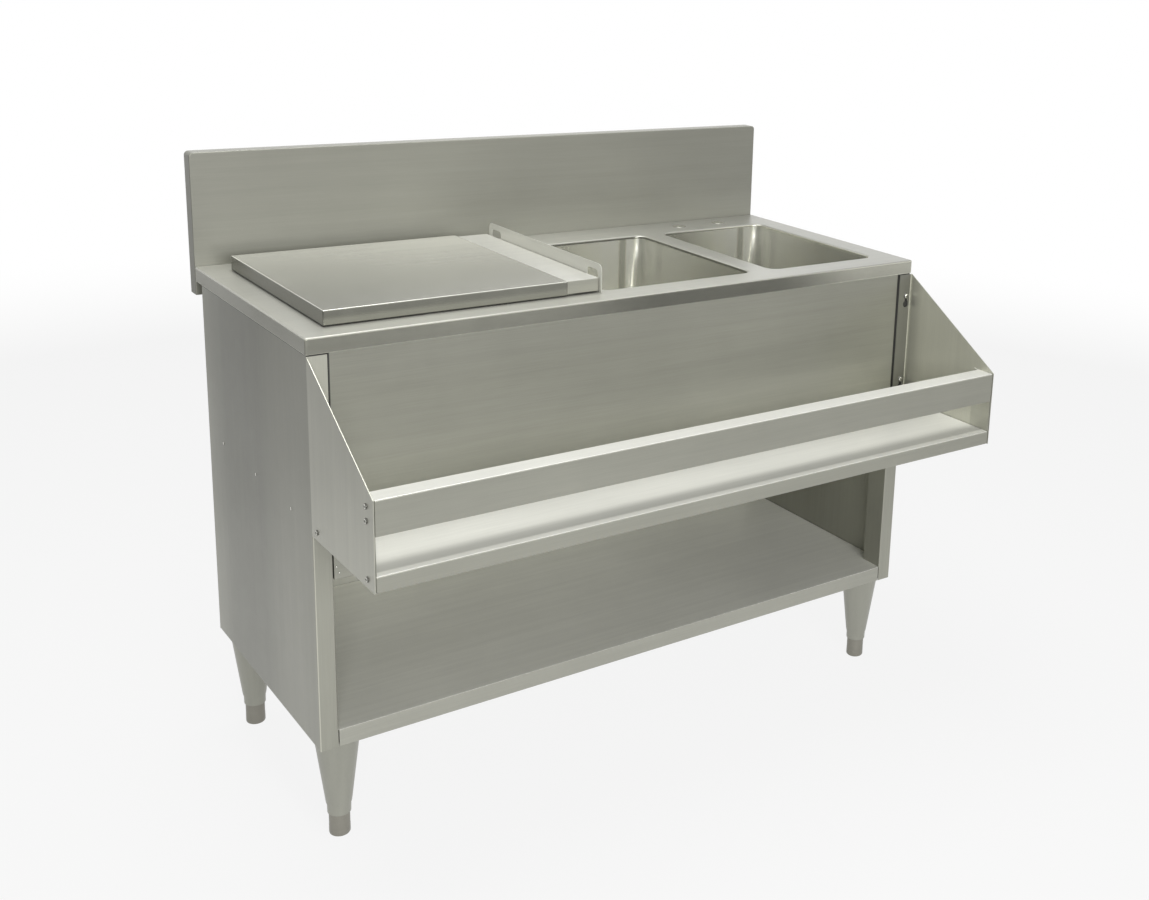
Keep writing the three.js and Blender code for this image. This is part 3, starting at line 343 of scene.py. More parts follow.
def filled(shape, loops):
    """Fills an outline, less the holes in it, with flat faces."""
    points = [Vector(p) for loop in loops for p in loop]
    corners = [shape.verts.new(p) for p in points]
    for a, b, c in tessellate_polygon([[Vector(p) for p in loop] for loop in loops]):
        if (points[b] - points[a]).cross(points[c] - points[a]).length > 1e-13:
            shape.faces.new((corners[a], corners[b], corners[c]))


def folded_mesh(panels, sheet, bend, sharp=25):
    """A folded sheet from the flat panels of its outer face. The first outline runs anticlockwise seen from
    outside. The folds are rounded, then the sheet gets its thickness on the inner side."""
    shape = bmesh.new()
    first = outlines(panels[0])[0]
    outside = sum((Vector(a).cross(Vector(b)) for a, b in zip(first, first[1:] + first[:1])), Vector())
    for panel in panels:
        loops = outlines(panel)
        if len(loops) == 1:
            shape.faces.new([shape.verts.new(p) for p in loops[0]])
        else:
            filled(shape, loops)
    bmesh.ops.remove_doubles(shape, verts=shape.verts, dist=1e-5)
    for corner in list(shape.verts):
        for edge in list(shape.edges):
            a, b = edge.verts
            if corner in (a, b):
                continue
            run = b.co - a.co
            t = (corner.co - a.co).dot(run) / run.length_squared
            if 1e-4 < t < 1 - 1e-4 and (a.co + run * t - corner.co).length < 1e-5:
                bmesh.utils.edge_split(edge, a, t)
    bmesh.ops.remove_doubles(shape, verts=shape.verts, dist=1e-5)
    bmesh.ops.recalc_face_normals(shape, faces=shape.faces)
    outside.normalize()
    along = [(f.normal.dot(outside), f.calc_area()) for f in shape.faces]
    if sum(facing * area for facing, area in along if facing ** 2 > 0.99) < 0:
        bmesh.ops.reverse_faces(shape, faces=shape.faces)
    folds = [e for e in shape.edges if len(e.link_faces) == 2 and e.calc_face_angle(0) > math.radians(sharp)]
    if bend and folds:
        bmesh.ops.bevel(shape, geom=folds, offset=bend, segments=4, profile=0.5, affect="EDGES",
                        clamp_overlap=True)
    mesh = bpy.data.meshes.new("folded")
    shape.to_mesh(mesh)
    shape.free()
    return thickened(mesh, sheet)


def thickened(mesh, sheet):
    """Gives a sheet's outer face its thickness and takes the burr off its cut edges."""
    blank = bpy.data.objects.new("blank", mesh)
    bpy.context.scene.collection.objects.link(blank)
    wall = blank.modifiers.new("wall", "SOLIDIFY")
    wall.thickness, wall.offset, wall.use_even_offset = sheet, -1, True
    wall.use_quality_normals = True
    burr = blank.modifiers.new("burr", "BEVEL")
    burr.width, burr.segments, burr.limit_method = 0.0002, 1, "ANGLE"
    burr.angle_limit, burr.use_clamp_overlap = math.radians(60), True
    bpy.context.view_layer.update()
    done = bpy.data.meshes.new_from_object(blank.evaluated_get(bpy.context.evaluated_depsgraph_get()))
    bpy.data.objects.remove(blank)
    clean = bmesh.new()
    clean.from_mesh(done)
    bmesh.ops.dissolve_degenerate(clean, dist=2e-6, edges=clean.edges)
    clean.to_mesh(done)
    clean.free()
    return flat_shaded(done)


def flat_shaded(mesh):
    """Keeps the shading of flat panels flat, with the folds and the pressed corners between them round."""
    shape = bmesh.new()
    shape.from_mesh(mesh)
    panel, area = {}, []
    for face in shape.faces:
        if face in panel:
            continue
        panel[face] = len(area)
        found = [face]
        for here in found:
            for edge in here.edges:
                for other in edge.link_faces:
                    if other not in panel and edge.calc_face_angle(1) < 0.01:
                        panel[other] = len(area)
                        found.append(other)
        area.append(sum(f.calc_area() for f in found))
    normals = []
    for face in shape.faces:
        for loop in face.loops:
            group = [face]
            for here in group:
                for edge in loop.vert.link_edges:
                    if here in edge.link_faces and edge.calc_face_angle(4) < math.radians(33):
                        group += [other for other in edge.link_faces if other not in group]
            flats = {}
            for near in group:
                flats.setdefault(panel[near], near.normal)
            total = sum((normal * area[index] ** 2 for index, normal in flats.items()), Vector())
            normals.append(total.normalized() if total.length_squared else face.normal.copy())
    shape.free()
    mesh.shade_smooth()
    mesh.normals_split_custom_set(normals)
    return mesh


def mirrored(mesh):
    """The same sheet for the other end of the unit, with its faces still outwards."""
    other = mesh.copy()
    if "custom_normal" in other.attributes:
        other.attributes.remove(other.attributes["custom_normal"])
    other.transform(Matrix.Scale(-1, 4, (1, 0, 0)))
    other.flip_normals()
    return flat_shaded(other)


sheet, fold = 0.0012, 0.0022
low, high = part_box("side_panel_left")
stile, stile_return, side_return, foot_return = 0.030, 0.049, 0.020, 0.006
shelf_top, rail_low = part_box("shelf")[1].z + 0.0003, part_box("rail_plate_left")[0].z + 0.004
under_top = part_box("worktop")[0].z
x0, x1, y0, y1, z0, z1 = low.x, low.x + stile, low.y, high.y, low.z, high.z
# Painted light and shade on the side steel: lighter stile fronts, a darker band behind them and lighter backs
# as painted reflections, a painted shadow line under the worktop's edge and a painted highlight along the
# left stile's fold.
upright_steel_painted_light = stainless(
    "upright_steel_painted_light", (0.335, 0.335, 0.288), 0.33, "Z", cross="Y",
    painted_light_ramps=(("Y", y0, y0 + 0.0047, 1.15, 1.0), ("Y", y0 + 0.0997, y0 + 0.2597, 1.0, 0.76),
            ("Y", y1 - 0.1243, y1 + 0.0157, 1.0, 1.42),
            ("Z", under_top - 0.0030, under_top - 0.0014, 1.0, 0.1),
            ("X", x0 + 0.0002, x0 + 0.0007, 1.0, 1.6), ("X", x0 + 0.0015, x0 + 0.0021, 1.0, 0.625)))
# Painted shade: an almost black finish for faces that lie in shadow in the seams beside the stiles.
seam_painted_shade = stainless("seam_painted_shade", (0.03, 0.03, 0.027), 0.6, "Z", streak=0.5, wave=0.0, metal=0.0)
side_mesh = folded_mesh([
    [(x0, y0, z0), (x0, y0, z1), (x0, y1, z1), (x0, y1, z0)],
    [(x0, y0, z0), (x1, y0, z0), (x1, y0, shelf_top), (x0, y0, shelf_top)],
    [(x0, y0, shelf_top), (x1, y0, shelf_top), (x1, y0, rail_low), (x0, y0, rail_low)],
    [(x0, y0, rail_low), (x1, y0, rail_low), (x1, y0, z1), (x0, y0, z1)],
    [(x1, y0, shelf_top), (x1, y0 + stile_return, shelf_top), (x1, y0 + stile_return, rail_low),
     (x1, y0, rail_low)],
    [(x1, y0, rail_low), (x1, y0 + stile_return, rail_low), (x1, y0 + stile_return, z1), (x1, y0, z1)],
    [(x0, y1, z0), (x0, y1, z1), (x0 + side_return, y1, z1), (x0 + side_return, y1, z0)],
    [(x0, y0 + 0.004, z0), (x0, y1 - 0.004, z0), (x0 + foot_return, y1 - 0.004, z0),
     (x0 + foot_return, y0 + 0.004, z0)],
], sheet, fold)
# The stiles' faces behind the rail's flanges take the painted seam shade.
for side, mesh in (("left", side_mesh), ("right", mirrored(side_mesh))):
    finished("cabinet_side_" + side, mesh, upright_steel_painted_light, "cabinet", "brushed_steel", "side_panel_" + side,
             painted_light_finish=seam_painted_shade, where=lambda face: (face.center.z > rail_low and face.center.y < y0 + 0.01
                                                    and abs(face.center.x) < -x0 - 0.003))

# ---------------------------------------------------------------------------------------------------------
# Rear panel: a flat stainless sheet that closes the cabinet's back, spot-welded to the side returns.
# Its own solid carries the steel.

coated("rear_panel", stainless("rear_steel", (0.55, 0.55, 0.485), 0.34, "Z", metal=0.15))

# ---------------------------------------------------------------------------------------------------------
# Shelf: one stainless sheet with a deep lip at the front between the stiles and turned-down flanges at its
# sides and back. The grain runs from side to side.

low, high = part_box("shelf")
flange, hem, hem_slope, shelf_fold = 0.022, 0.0035, 0.01, 0.002
lip_x = -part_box("apron")[0].x
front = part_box("side_panel_left")[0].y + 0.0015
x1, y0, y1, z0, z1 = high.x, low.y, high.y, low.z, high.z
shelf_mesh = folded_mesh([
    [(-x1, front, z1), (-lip_x, front, z1), (-lip_x, y0, z1), (lip_x, y0, z1), (lip_x, front, z1),
     (x1, front, z1), (x1, y1, z1), (-x1, y1, z1)],
    [(-lip_x, y0, z1), (lip_x, y0, z1), (lip_x, y0, z0), (-lip_x, y0, z0)],
    [(-lip_x, y0, z0), (lip_x, y0, z0), (lip_x - hem_slope, y0 + hem, z0),
     (-lip_x + hem_slope, y0 + hem, z0)],
    [(-x1, front, z1), (-x1, y1, z1), (-x1, y1, z1 - flange), (-x1, front, z1 - flange)],
    [(x1, front, z1), (x1, y1, z1), (x1, y1, z1 - flange), (x1, front, z1 - flange)],
    [(-x1, y1, z1), (x1, y1, z1), (x1, y1, z1 - flange), (-x1, y1, z1 - flange)],
], sheet, shelf_fold)
lip_steel = stainless("lip_steel", (0.42, 0.42, 0.366), 0.34, "X", metal=0.15)
# The shelf's top takes a much lighter copy of the steel: painted light for the cavity under the apron.
shelf_top_painted_light = stainless("shelf_top_painted_light", (0.92, 0.92, 0.855), 0.34, "X", cross="Y", metal=0.3)
finished("undershelf", shelf_mesh, lip_steel, "cabinet", "brushed_steel", "shelf", painted_light_finish=shelf_top_painted_light)

# ---------------------------------------------------------------------------------------------------------
# Apron: the deep front panel under the worktop, one sheet with returns at its ends and along its lower edge.
# Its outer strips beside the stiles carry painted shade, almost black above the rail's foot, for the shadow
# in the seam.

low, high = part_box("apron")
x0, x1, y0, y1, z0, z1 = low.x, high.x, low.y, high.y, low.z, high.z
left, right, apron_fold = x0 + 0.0030, x1 - 0.0022, 0.002
# Painted light: the apron's steel is lighter to the right and towards its bottom.
apron_steel_painted_light = stainless("apron_steel_painted_light", (0.33, 0.33, 0.284), 0.33, "X", cross="Y",
                        painted_light_ramps=(("X", x0 + 0.0762, x1 - 0.0762, 0.96, 1.1),
                                ("Z", z0 + 0.029, z0 + 0.329, 1.22, 1.0)))
apron_mesh = folded_mesh([
    [(x0, y0, z0), (x1, y0, z0), (x1, y0, rail_low), (x0, y0, rail_low)],
    [(left, y0, rail_low), (right, y0, rail_low), (right, y0, z1), (left, y0, z1)],
    [(x0, y0, rail_low), (left, y0, rail_low), (left, y0, z1), (x0, y0, z1)],
    [(right, y0, rail_low), (x1, y0, rail_low), (x1, y0, z1), (right, y0, z1)],
    [(x0, y0, z0), (x0, y0, z1), (x0, y1, z1), (x0, y1, z0)],
    [(x1, y0, z0), (x1, y0, z1), (x1, y1, z1), (x1, y1, z0)],
    [(x0, y0, z0), (x1, y0, z0), (x1, y1, z0), (x0, y1, z0)],
], sheet, apron_fold)
# The apron's outer strips above the rail's foot take the painted seam shade.
finished("front_apron", apron_mesh, apron_steel_painted_light, "cabinet", "brushed_steel", "apron", painted_light_finish=seam_painted_shade,
         where=lambda face: face.center.z > rail_low and not left < face.center.x < right)

# ---------------------------------------------------------------------------------------------------------
# Ice bin: a deep-drawn stainless tub in rigid foam, closed outside by a thin folded jacket. Its waste goes
# through the middle of the floor, with a nut below, and a perforated false bottom keeps the ice dry.

foam = bpy.data.materials.new("rigid_foam")
put = emptied(foam)
place = put("ShaderNodeTexCoord").outputs["Object"]
cells = put("ShaderNodeTexVoronoi", {"Vector": place, "Scale": 420.0}).outputs["Distance"]
shade = put("ShaderNodeMapRange", {"Value": cells, "To Min": 0.9, "To Max": 1.05})
colour = put("ShaderNodeVectorMath", {0: (0.74, 0.63, 0.38), 3: shade.outputs[0]}, operation="SCALE")
pores = put("ShaderNodeBump", {"Height": cells, "Strength": 0.4, "Distance": 0.001})
skin = put("ShaderNodeBsdfPrincipled", {"Base Color": colour.outputs[0], "Roughness": 0.85,
                                        "Normal": pores.outputs[0]})
put("ShaderNodeOutputMaterial", {"Surface": skin.outputs[0]})
coated("bin_insulation", foam)
jacket_steel = stainless("jacket_steel", (0.70, 0.70, 0.64), 0.42, "Y", streak=0.4, wave=0.4, metal=0.3)
coated("bin_jacket", jacket_steel)
coated("bin_drain_nut", turned_steel)


def rounded(x, y, radius, z, steps=7):
    """The points of a rectangle with round corners, anticlockwise from above."""
    corners = (((x[1], y[0]), -90), ((x[1], y[1]), 0), ((x[0], y[1]), 90), ((x[0], y[0]), 180))
    points = []
    for (cx, cy), start in corners:
        cx += -radius if cx == x[1] else radius
        cy += -radius if cy == y[1] else radius
        points += [(px, py, z) for px, py in arc((cx, cy), radius, start, start + 90, steps)]
    return points


def walled(x, y, radius, profile, steps=7):
    """The rings of a rounded rectangle's wall, from its profile of [how far drawn in, height]."""
    return [rounded((x[0] + inset, x[1] - inset), (y[0] + inset, y[1] - inset), radius - inset, z, steps)
            for inset, z in profile]


def circle(centre, radius, z, steps=40):
    """The points of a round hole's edge."""
    return [(px, py, z) for px, py in arc(centre, radius, 0, 360, steps)[:-1]]


def lofted(shape, rings):
    """Joins rings of as many points each with a band of faces."""
    made = [[shape.verts.new(p) for p in ring] for ring in rings]
    for ring, following in zip(made, made[1:]):
        for i in range(len(ring)):
            j = (i + 1) % len(ring)
            shape.faces.new((ring[i], ring[j], following[j], following[i]))


def pressed_mesh(shape, sheet):
    """Closes a pressed skin's seams, turns its flat parts' faces up and gives it its thickness below."""
    bmesh.ops.remove_doubles(shape, verts=shape.verts, dist=2e-6)
    bmesh.ops.recalc_face_normals(shape, faces=shape.faces)
    if sum(f.normal.z * f.calc_area() for f in shape.faces if abs(f.normal.z) > 0.9) < 0:
        bmesh.ops.reverse_faces(shape, faces=shape.faces)
    mesh = bpy.data.meshes.new("pressed")
    shape.to_mesh(mesh)
    shape.free()
    return thickened(mesh, sheet)


bin_steel = stainless("bin_steel", (0.55, 0.55, 0.49), 0.34, "Z", cross="X", streak=0.7, wave=0.5)
low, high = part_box("bin_liner")
rim, fillet, tub_corner, waste_hole = 0.012, 0.018, 0.025, 0.0163
x, y, ground = (low.x + rim, high.x - rim), (low.y + rim, high.y - rim), low.z + sheet
rings = walled(x, y, tub_corner, [(-rim, high.z), (-0.002, high.z), (0, high.z - 0.002)]
               + arc((fillet, ground + fillet), fillet, 180, 270))
shape = bmesh.new()
lofted(shape, rings)
filled(shape, [rings[-1], circle((sum(x) / 2, sum(y) / 2), waste_hole, ground)])
finished("ice_tub", pressed_mesh(shape, sheet), bin_steel, "cabinet", "brushed_steel", "bin_liner")

low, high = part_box("bin_drain")
bore, tube, collar, collar_height = 0.0145, 0.016, 0.028, 0.0015
profile = ([(bore, low.z), (tube, low.z)] + thread(tube, 0.0007, low.z + 0.002, 0.0011, 24)
           + [(tube, high.z - collar_height), (collar, high.z - collar_height), (collar, high.z - 0.0004),
              (collar - 0.0005, high.z), (bore + 0.002, high.z), (bore, high.z - 0.001)])
finished("bin_waste", turned_mesh(profile, (low + high) / 2), turned_steel, "cabinet", "bright_steel",
         "bin_drain")


def shop_tree(name, inputs):
    """A Geometry Nodes tree with named inputs for its sizes, and the word that adds nodes to it."""
    tree = bpy.data.node_groups.new(name, "GeometryNodeTree")
    tree.interface.new_socket("Geometry", in_out="INPUT", socket_type="NodeSocketGeometry")
    for word, kind in inputs.items():
        tree.interface.new_socket(word, in_out="INPUT", socket_type="NodeSocket" + kind)
    tree.interface.new_socket("Geometry", in_out="OUTPUT", socket_type="NodeSocketGeometry")
    return tree, node_maker(tree)


def worked_mesh(mesh, tree, sizes):
    """The plain mesh that a Geometry Nodes tree makes of a mesh, with the sizes set on its inputs."""
    blank = bpy.data.objects.new("blank", mesh)
    bpy.context.scene.collection.objects.link(blank)
    work = blank.modifiers.new("work", "NODES")
    work.node_group = tree
    for word, value in sizes.items():
        work[tree.interface.items_tree[word].identifier] = value
    bpy.context.view_layer.update()
    done = bpy.data.meshes.new_from_object(blank.evaluated_get(bpy.context.evaluated_depsgraph_get()))
    bpy.data.objects.remove(blank)
    return done


def pierced(name, mesh, places, radius, paint, sharpest):
    """Punches round holes down through a mesh at the given places."""
    tree, put = shop_tree(name + "_punch", {"Hole places": "Object", "Hole radius": "Float",
                                            "Punch length": "Float", "Sides": "Int", "Finish": "Material"})
    marks = bpy.data.meshes.new(name + "_marks")
    marks.from_pydata(places, [], [])
    holes = bpy.data.objects.new(name + "_marks", marks)
    bpy.context.scene.collection.objects.link(holes)
    give = put("NodeGroupInput").outputs
    points = put("GeometryNodeObjectInfo", {"Object": give["Hole places"]}).outputs["Geometry"]
    punch = put("GeometryNodeMeshCylinder", {"Radius": give["Hole radius"], "Depth": give["Punch length"],
                                             "Vertices": give["Sides"]}).outputs["Mesh"]
    laid = put("GeometryNodeInstanceOnPoints", {"Points": points, "Instance": punch}).outputs[0]
    real = put("GeometryNodeRealizeInstances", {"Geometry": laid}).outputs[0]
    cut = put("GeometryNodeMeshBoolean", {"Mesh 1": give["Geometry"], "Mesh 2": real},
              operation="DIFFERENCE", solver="EXACT").outputs["Mesh"]
    coat = put("GeometryNodeSetMaterial", {"Geometry": cut, "Material": give["Finish"]}).outputs[0]
    put("NodeGroupOutput", {"Geometry": coat})
    done = worked_mesh(mesh, tree, {"Hole places": holes, "Hole radius": radius, "Punch length": 0.02,
                                    "Sides": 10, "Finish": paint})
    bpy.data.objects.remove(holes)
    return round_shaded(done, sharpest)


low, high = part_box("bin_false_bottom")
x, y = (low.x, high.x), (low.y, high.y)
plate_corner, turn, skirt = 0.012, 0.002, 0.0055
rings = walled(x, y, plate_corner, arc((turn, high.z - turn), turn, 90, 180) + [(0, low.z + skirt)])
shape = bmesh.new()
lofted(shape, rings)
filled(shape, [rings[0]])
pitch, hole, border = 0.030, 0.0045, 0.04
columns, rows = int((x[1] - x[0] - border) / pitch), int((y[1] - y[0] - border) / pitch)
places = [(sum(x) / 2 + (column - (columns - 1) / 2) * pitch,
           sum(y) / 2 + (row - (rows - 1) / 2) * pitch, high.z)
          for column in range(columns) for row in range(rows)]
finished("false_bottom", pierced("false_bottom", pressed_mesh(shape, sheet), places, hole, bin_steel, 30),
         bin_steel, "bin_grid", "brushed_steel", "bin_false_bottom")
foot_inset, peg, under_plate = 0.0467, 0.007, high.z - 0.0014
for i, centre in enumerate((a, b) for a in (x[0] + foot_inset, x[1] - foot_inset)
                           for b in (y[0] + foot_inset, y[1] - foot_inset)):
    profile = [(0, low.z), (peg - 0.001, low.z), (peg, low.z + 0.001), (peg, under_plate), (0, under_plate)]
    finished(f"false_bottom_foot_{i + 1}", turned_mesh(profile, centre, 20), turned_steel, "bin_grid",
             "brushed_steel")

# ---------------------------------------------------------------------------------------------------------
# Worktop: one sheet, turned down all round with welded and ground corners. The bowls' rims roll down into it,
# and a welded upstand runs round the bin's opening. Two tap holes and two slots are punched through it.

low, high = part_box("worktop")
top_sheet, roll, end_corner, deck = 0.0015, 0.003, 0.0033, high.z
outer = walled((low.x, high.x), (low.y, high.y), end_corner,
               arc((roll, deck - roll), roll, 90, 180) + [(0, low.z)], 4)
shape = bmesh.new()
lofted(shape, outer)
holes = []
bowl_rim, bowl_roll, bowl_corner, rim_depth = 0.006, 0.004, 0.022, 0.0065
for node in ("bowl_left", "bowl_right"):
    inner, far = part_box(node)
    x, y = (inner.x + bowl_rim, far.x - bowl_rim), (inner.y + bowl_rim, far.y - bowl_rim)
    rings = walled(x, y, bowl_corner, arc((-bowl_roll, deck - bowl_roll), bowl_roll, 90, 0)
                   + [(0, deck - rim_depth)])
    lofted(shape, rings)
    holes.append(rings[0])
upstand_foot, upstand_corner = 0.003, 0.0265
inner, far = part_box("bin_curb")
rings = walled((inner.x, far.x), (inner.y, far.y), upstand_corner,
               arc((-upstand_foot, deck + upstand_foot), upstand_foot, -90, 0) + [(0, far.z)])
lofted(shape, rings)
holes.append(rings[0])
tap_hole = 0.011
for side in ("left", "right"):
    holes.append(circle(sum(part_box("tap_hole_cap_" + side), Vector()) / 2, tap_hole, deck))
slot_half, slot_play = 0.0153, 0.0003
near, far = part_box("splash_plate")
quarter = (far.y - near.y) / 4
for middle in (near.y + quarter, far.y - quarter):
    slot_x, slot_y = (near.x - slot_play, far.x + slot_play), (middle - slot_half, middle + slot_half)
    holes.append([(slot_x[0], slot_y[0], deck), (slot_x[1], slot_y[0], deck), (slot_x[1], slot_y[1], deck),
                  (slot_x[0], slot_y[1], deck)])
filled(shape, [outer[0]] + holes)
# The deck's steel carries painted light: a lighter left end, a painted reflection that darkens and then
# lightens the front edge towards the right, and a painted highlight along the edge's bottom.
deck_steel_painted_light = stainless("deck_steel_painted_light", (0.365, 0.365, 0.314), 0.21, "X", cross="Y", metal=0.75,
                       painted_light_ramps=(("X", low.x, low.x + 0.0055, 1.2, 1.0),
                               ("X", low.x + 0.4095, low.x + 0.6295, 1.0, 0.62),
                               ("X", low.x + 0.8595, low.x + 1.1095, 1.0, 2.5),
                               ("Z", low.z + 0.0004, low.z + 0.0012, 1.7, 1.0)))
# The worktop's up-facing faces take a lighter copy of its steel, painted light, darker again towards the
# right.
deck_top_painted_light = stainless("deck_top_painted_light", (0.46, 0.46, 0.41), 0.33, "X", cross="Y", metal=0.35,
                      painted_light_ramps=(("X", low.x + 0.6595, low.x + 1.0595, 1.0, 0.72),))
finished("sink_top", pressed_mesh(shape, top_sheet), deck_steel_painted_light, "cabinet", "brushed_steel", "worktop",
         "bin_curb", painted_light_finish=deck_top_painted_light)

# ---------------------------------------------------------------------------------------------------------
# Backsplash: one sheet folded to a box panel along the back of the worktop, open below, with small rounded
# upper corners that are welded and ground.

low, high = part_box("backsplash")
corner, splash_fold = 0.0075, 0.002
line = ([(high.x, low.z)] + arc((high.x - corner, high.z - corner), corner, 0, 90)
        + arc((low.x + corner, high.z - corner), corner, 90, 180) + [(low.x, low.z)])
panels = [[(px, low.y, pz) for px, pz in line[-1:] + line[:-1]], [(px, high.y, pz) for px, pz in line]]
for (ax, az), (bx, bz) in zip(line, line[1:]):
    panels.append([(ax, low.y, az), (bx, low.y, bz), (bx, high.y, bz), (ax, high.y, az)])
# Painted light: the backsplash's steel is darker towards its left end and lighter along its foot.
splash_steel_painted_light = stainless("splash_steel_painted_light", (0.262, 0.262, 0.225), 0.40, "X", cross="Y", streak=0.7, wave=0.6,
                         metal=0.35, painted_light_ramps=(("X", low.x + 0.0095, low.x + 0.7095, 0.84, 1.0),
                                             ("Z", deck + 0.006, deck + 0.086, 1.2, 1.0)))
finished("back_panel", folded_mesh(panels, sheet, splash_fold, sharp=40), splash_steel_painted_light, "cabinet",
         "brushed_steel", "backsplash")

# ---------------------------------------------------------------------------------------------------------
# Bowls: two deep-drawn stainless bowls welded into the worktop. Their upright corners open out below the
# rim, the floor falls to the waste, and the drawing leaves fine upright lines on the walls.

fall, cove, floor_round, dish, cup_hole = 0.004, 0.038, 0.022, 0.0585, 0.0433
opening_corners = ((bowl_corner, 0.0064), (0.0228, 0.014), (0.025, 0.026), (0.029, 0.042), (0.033, 0.062),
                   (0.0365, 0.09), (cove, 0.13))
for node in ("bowl_left", "bowl_right"):
    low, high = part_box(node)
    x, y = (low.x + bowl_rim, high.x - bowl_rim), (low.y + bowl_rim, high.y - bowl_rim)
    ground, centre = low.z + sheet, (sum(x) / 2, sum(y) / 2)
    rings = [rounded(x, y, radius, deck - depth) for radius, depth in opening_corners]
    rings += walled(x, y, cove, arc((floor_round, ground + fall + floor_round), floor_round, 180, 270, 9))
    dish_ring = circle(centre, dish, ground + 0.0002)
    shape = bmesh.new()
    lofted(shape, rings)
    filled(shape, [rings[-1], dish_ring])
    lofted(shape, [dish_ring, circle(centre, cup_hole, ground)])
    # Painted reflections on the bowls: the back wall lightens towards the right, dark and bright upright
    # stripes stand beside the back corner, and the right wall is darker.
    bowl_steel_painted_reflections = stainless(node + "_steel", (0.76, 0.76, 0.692), 0.20, "Z", cross="X", streak=0.6, wave=0.5,
                           metal=0.85, painted_light_ramps=(("X", x[0], x[1] - 0.07, 0.7, 1.4),
                                               ("X", x[1] - 0.058, x[1] - 0.050, 1.0, 0.6),
                                               ("X", x[1] - 0.042, x[1] - 0.034, 1.0, 1.7),
                                               ("X", x[1] - 0.024, x[1] - 0.006, 1.0, 0.65)))
    finished("drawn_" + node, pressed_mesh(shape, sheet), bowl_steel_painted_reflections, "cabinet", "brushed_steel", node)

# ---------------------------------------------------------------------------------------------------------
# Wastes: turned strainer cups in bright stainless, each held from below by a ring nut, with a tailpiece under
# it and a lift-out basket in it. The basket has four rings of small holes and a knob to lift it by.

wall = 0.0015
for side in ("left", "right"):
    low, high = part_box("drain_cup_" + side)
    cup, outlet, lip, step = 0.043, 0.022, (high.x - low.x) / 2, low.z + 0.024
    profile = ([(outlet - wall, low.z), (outlet, low.z)] + thread(outlet, 0.0008, low.z + 0.0015, 0.0012, 12)
               + [(outlet, step), (cup - 0.004, step), (cup - 0.0012, step + 0.0012), (cup, step + 0.004),
                  (cup, high.z - wall), (lip, high.z - wall), (lip - 0.0003, high.z - 0.0008),
                  (lip - 0.002, high.z - 0.0002), (lip - 0.004, high.z), (cup - wall + 0.001, high.z),
                  (cup - wall, high.z - 0.001), (cup - wall, step + 0.005), (cup - wall - 0.003, step + wall),
                  (outlet - wall, step + wall)])
    finished("strainer_cup_" + side, turned_mesh(profile, (low + high) / 2, 72), turned_steel, "cabinet",
             "bright_steel", "drain_cup_" + side)

    seat = high.z + 0.0003
    low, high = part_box("drain_locknut_" + side)
    nut = (high.x - low.x) / 2
    profile = [(cup_hole, low.z), (nut - 0.001, low.z), (nut, low.z + 0.001), (nut, high.z - 0.001),
               (nut - 0.001, high.z), (cup_hole, high.z)]
    finished("ring_nut_" + side, turned_mesh(profile, (low + high) / 2, 24), turned_steel, "cabinet",
             "bright_steel", "drain_locknut_" + side)

    low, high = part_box("tailpiece_" + side)
    bore, tube, collar = 0.0175, 0.019, (high.x - low.x) / 2
    profile = [(bore, low.z), (tube - 0.0003, low.z), (tube, low.z + 0.0003), (tube, high.z - 0.0036),
               (tube + 0.0006, high.z - 0.003), (collar, high.z - 0.003), (collar, high.z), (bore, high.z)]
    finished("waste_tube_" + side, turned_mesh(profile, (low + high) / 2), turned_steel, "cabinet",
             "bright_steel", "tailpiece_" + side)

    low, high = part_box("basket_strainer_" + side)
    centre, brim, base, top = (low + high) / 2, (high.x - low.x) / 2, low.z, high.z
    shell, stem, knob = brim - 0.004, 0.0025, 0.005
    profile = [(0, base), (shell - 0.005, base), (shell - 0.0035, base + 0.001),
               (shell - 0.0008, seat - 0.001), (shell, seat), (brim - 0.0003, seat), (brim, seat + 0.0007),
               (brim - 0.0008, seat + wall), (shell - 0.001, seat + wall), (shell - 0.0018, seat + 0.0005),
               (shell - 0.0055, base + 0.0025), (shell - 0.0065, base + wall), (0.006, base + wall),
               (0.0035, base + 0.002), (stem, base + 0.004), (stem, top - 0.007), (0.0034, top - 0.006),
               (knob, top - 0.0045), (knob, top - 0.0015), (0.0042, top - 0.0004), (0.003, top), (0, top)]
    places = [(centre.x + ring * math.cos(2 * math.pi * (i + turn) / count),
               centre.y + ring * math.sin(2 * math.pi * (i + turn) / count), base)
              for ring, count, turn in ((0.011, 6, 0), (0.0185, 12, 0.5), (0.026, 16, 0), (0.0315, 20, 0.5))
              for i in range(count)]
    basket = pierced("basket_" + side, turned_mesh(profile, centre, 64), places, 0.0016, turned_steel, 32)
    finished("lift_out_basket_" + side, basket, turned_steel, "strainer_" + side, "bright_steel",
             "basket_strainer_" + side)

# ---------------------------------------------------------------------------------------------------------
# Tap hole caps: shallow domed stainless discs that close the two tap holes until a tap is fitted. A short
# spigot under each one sits in its hole.

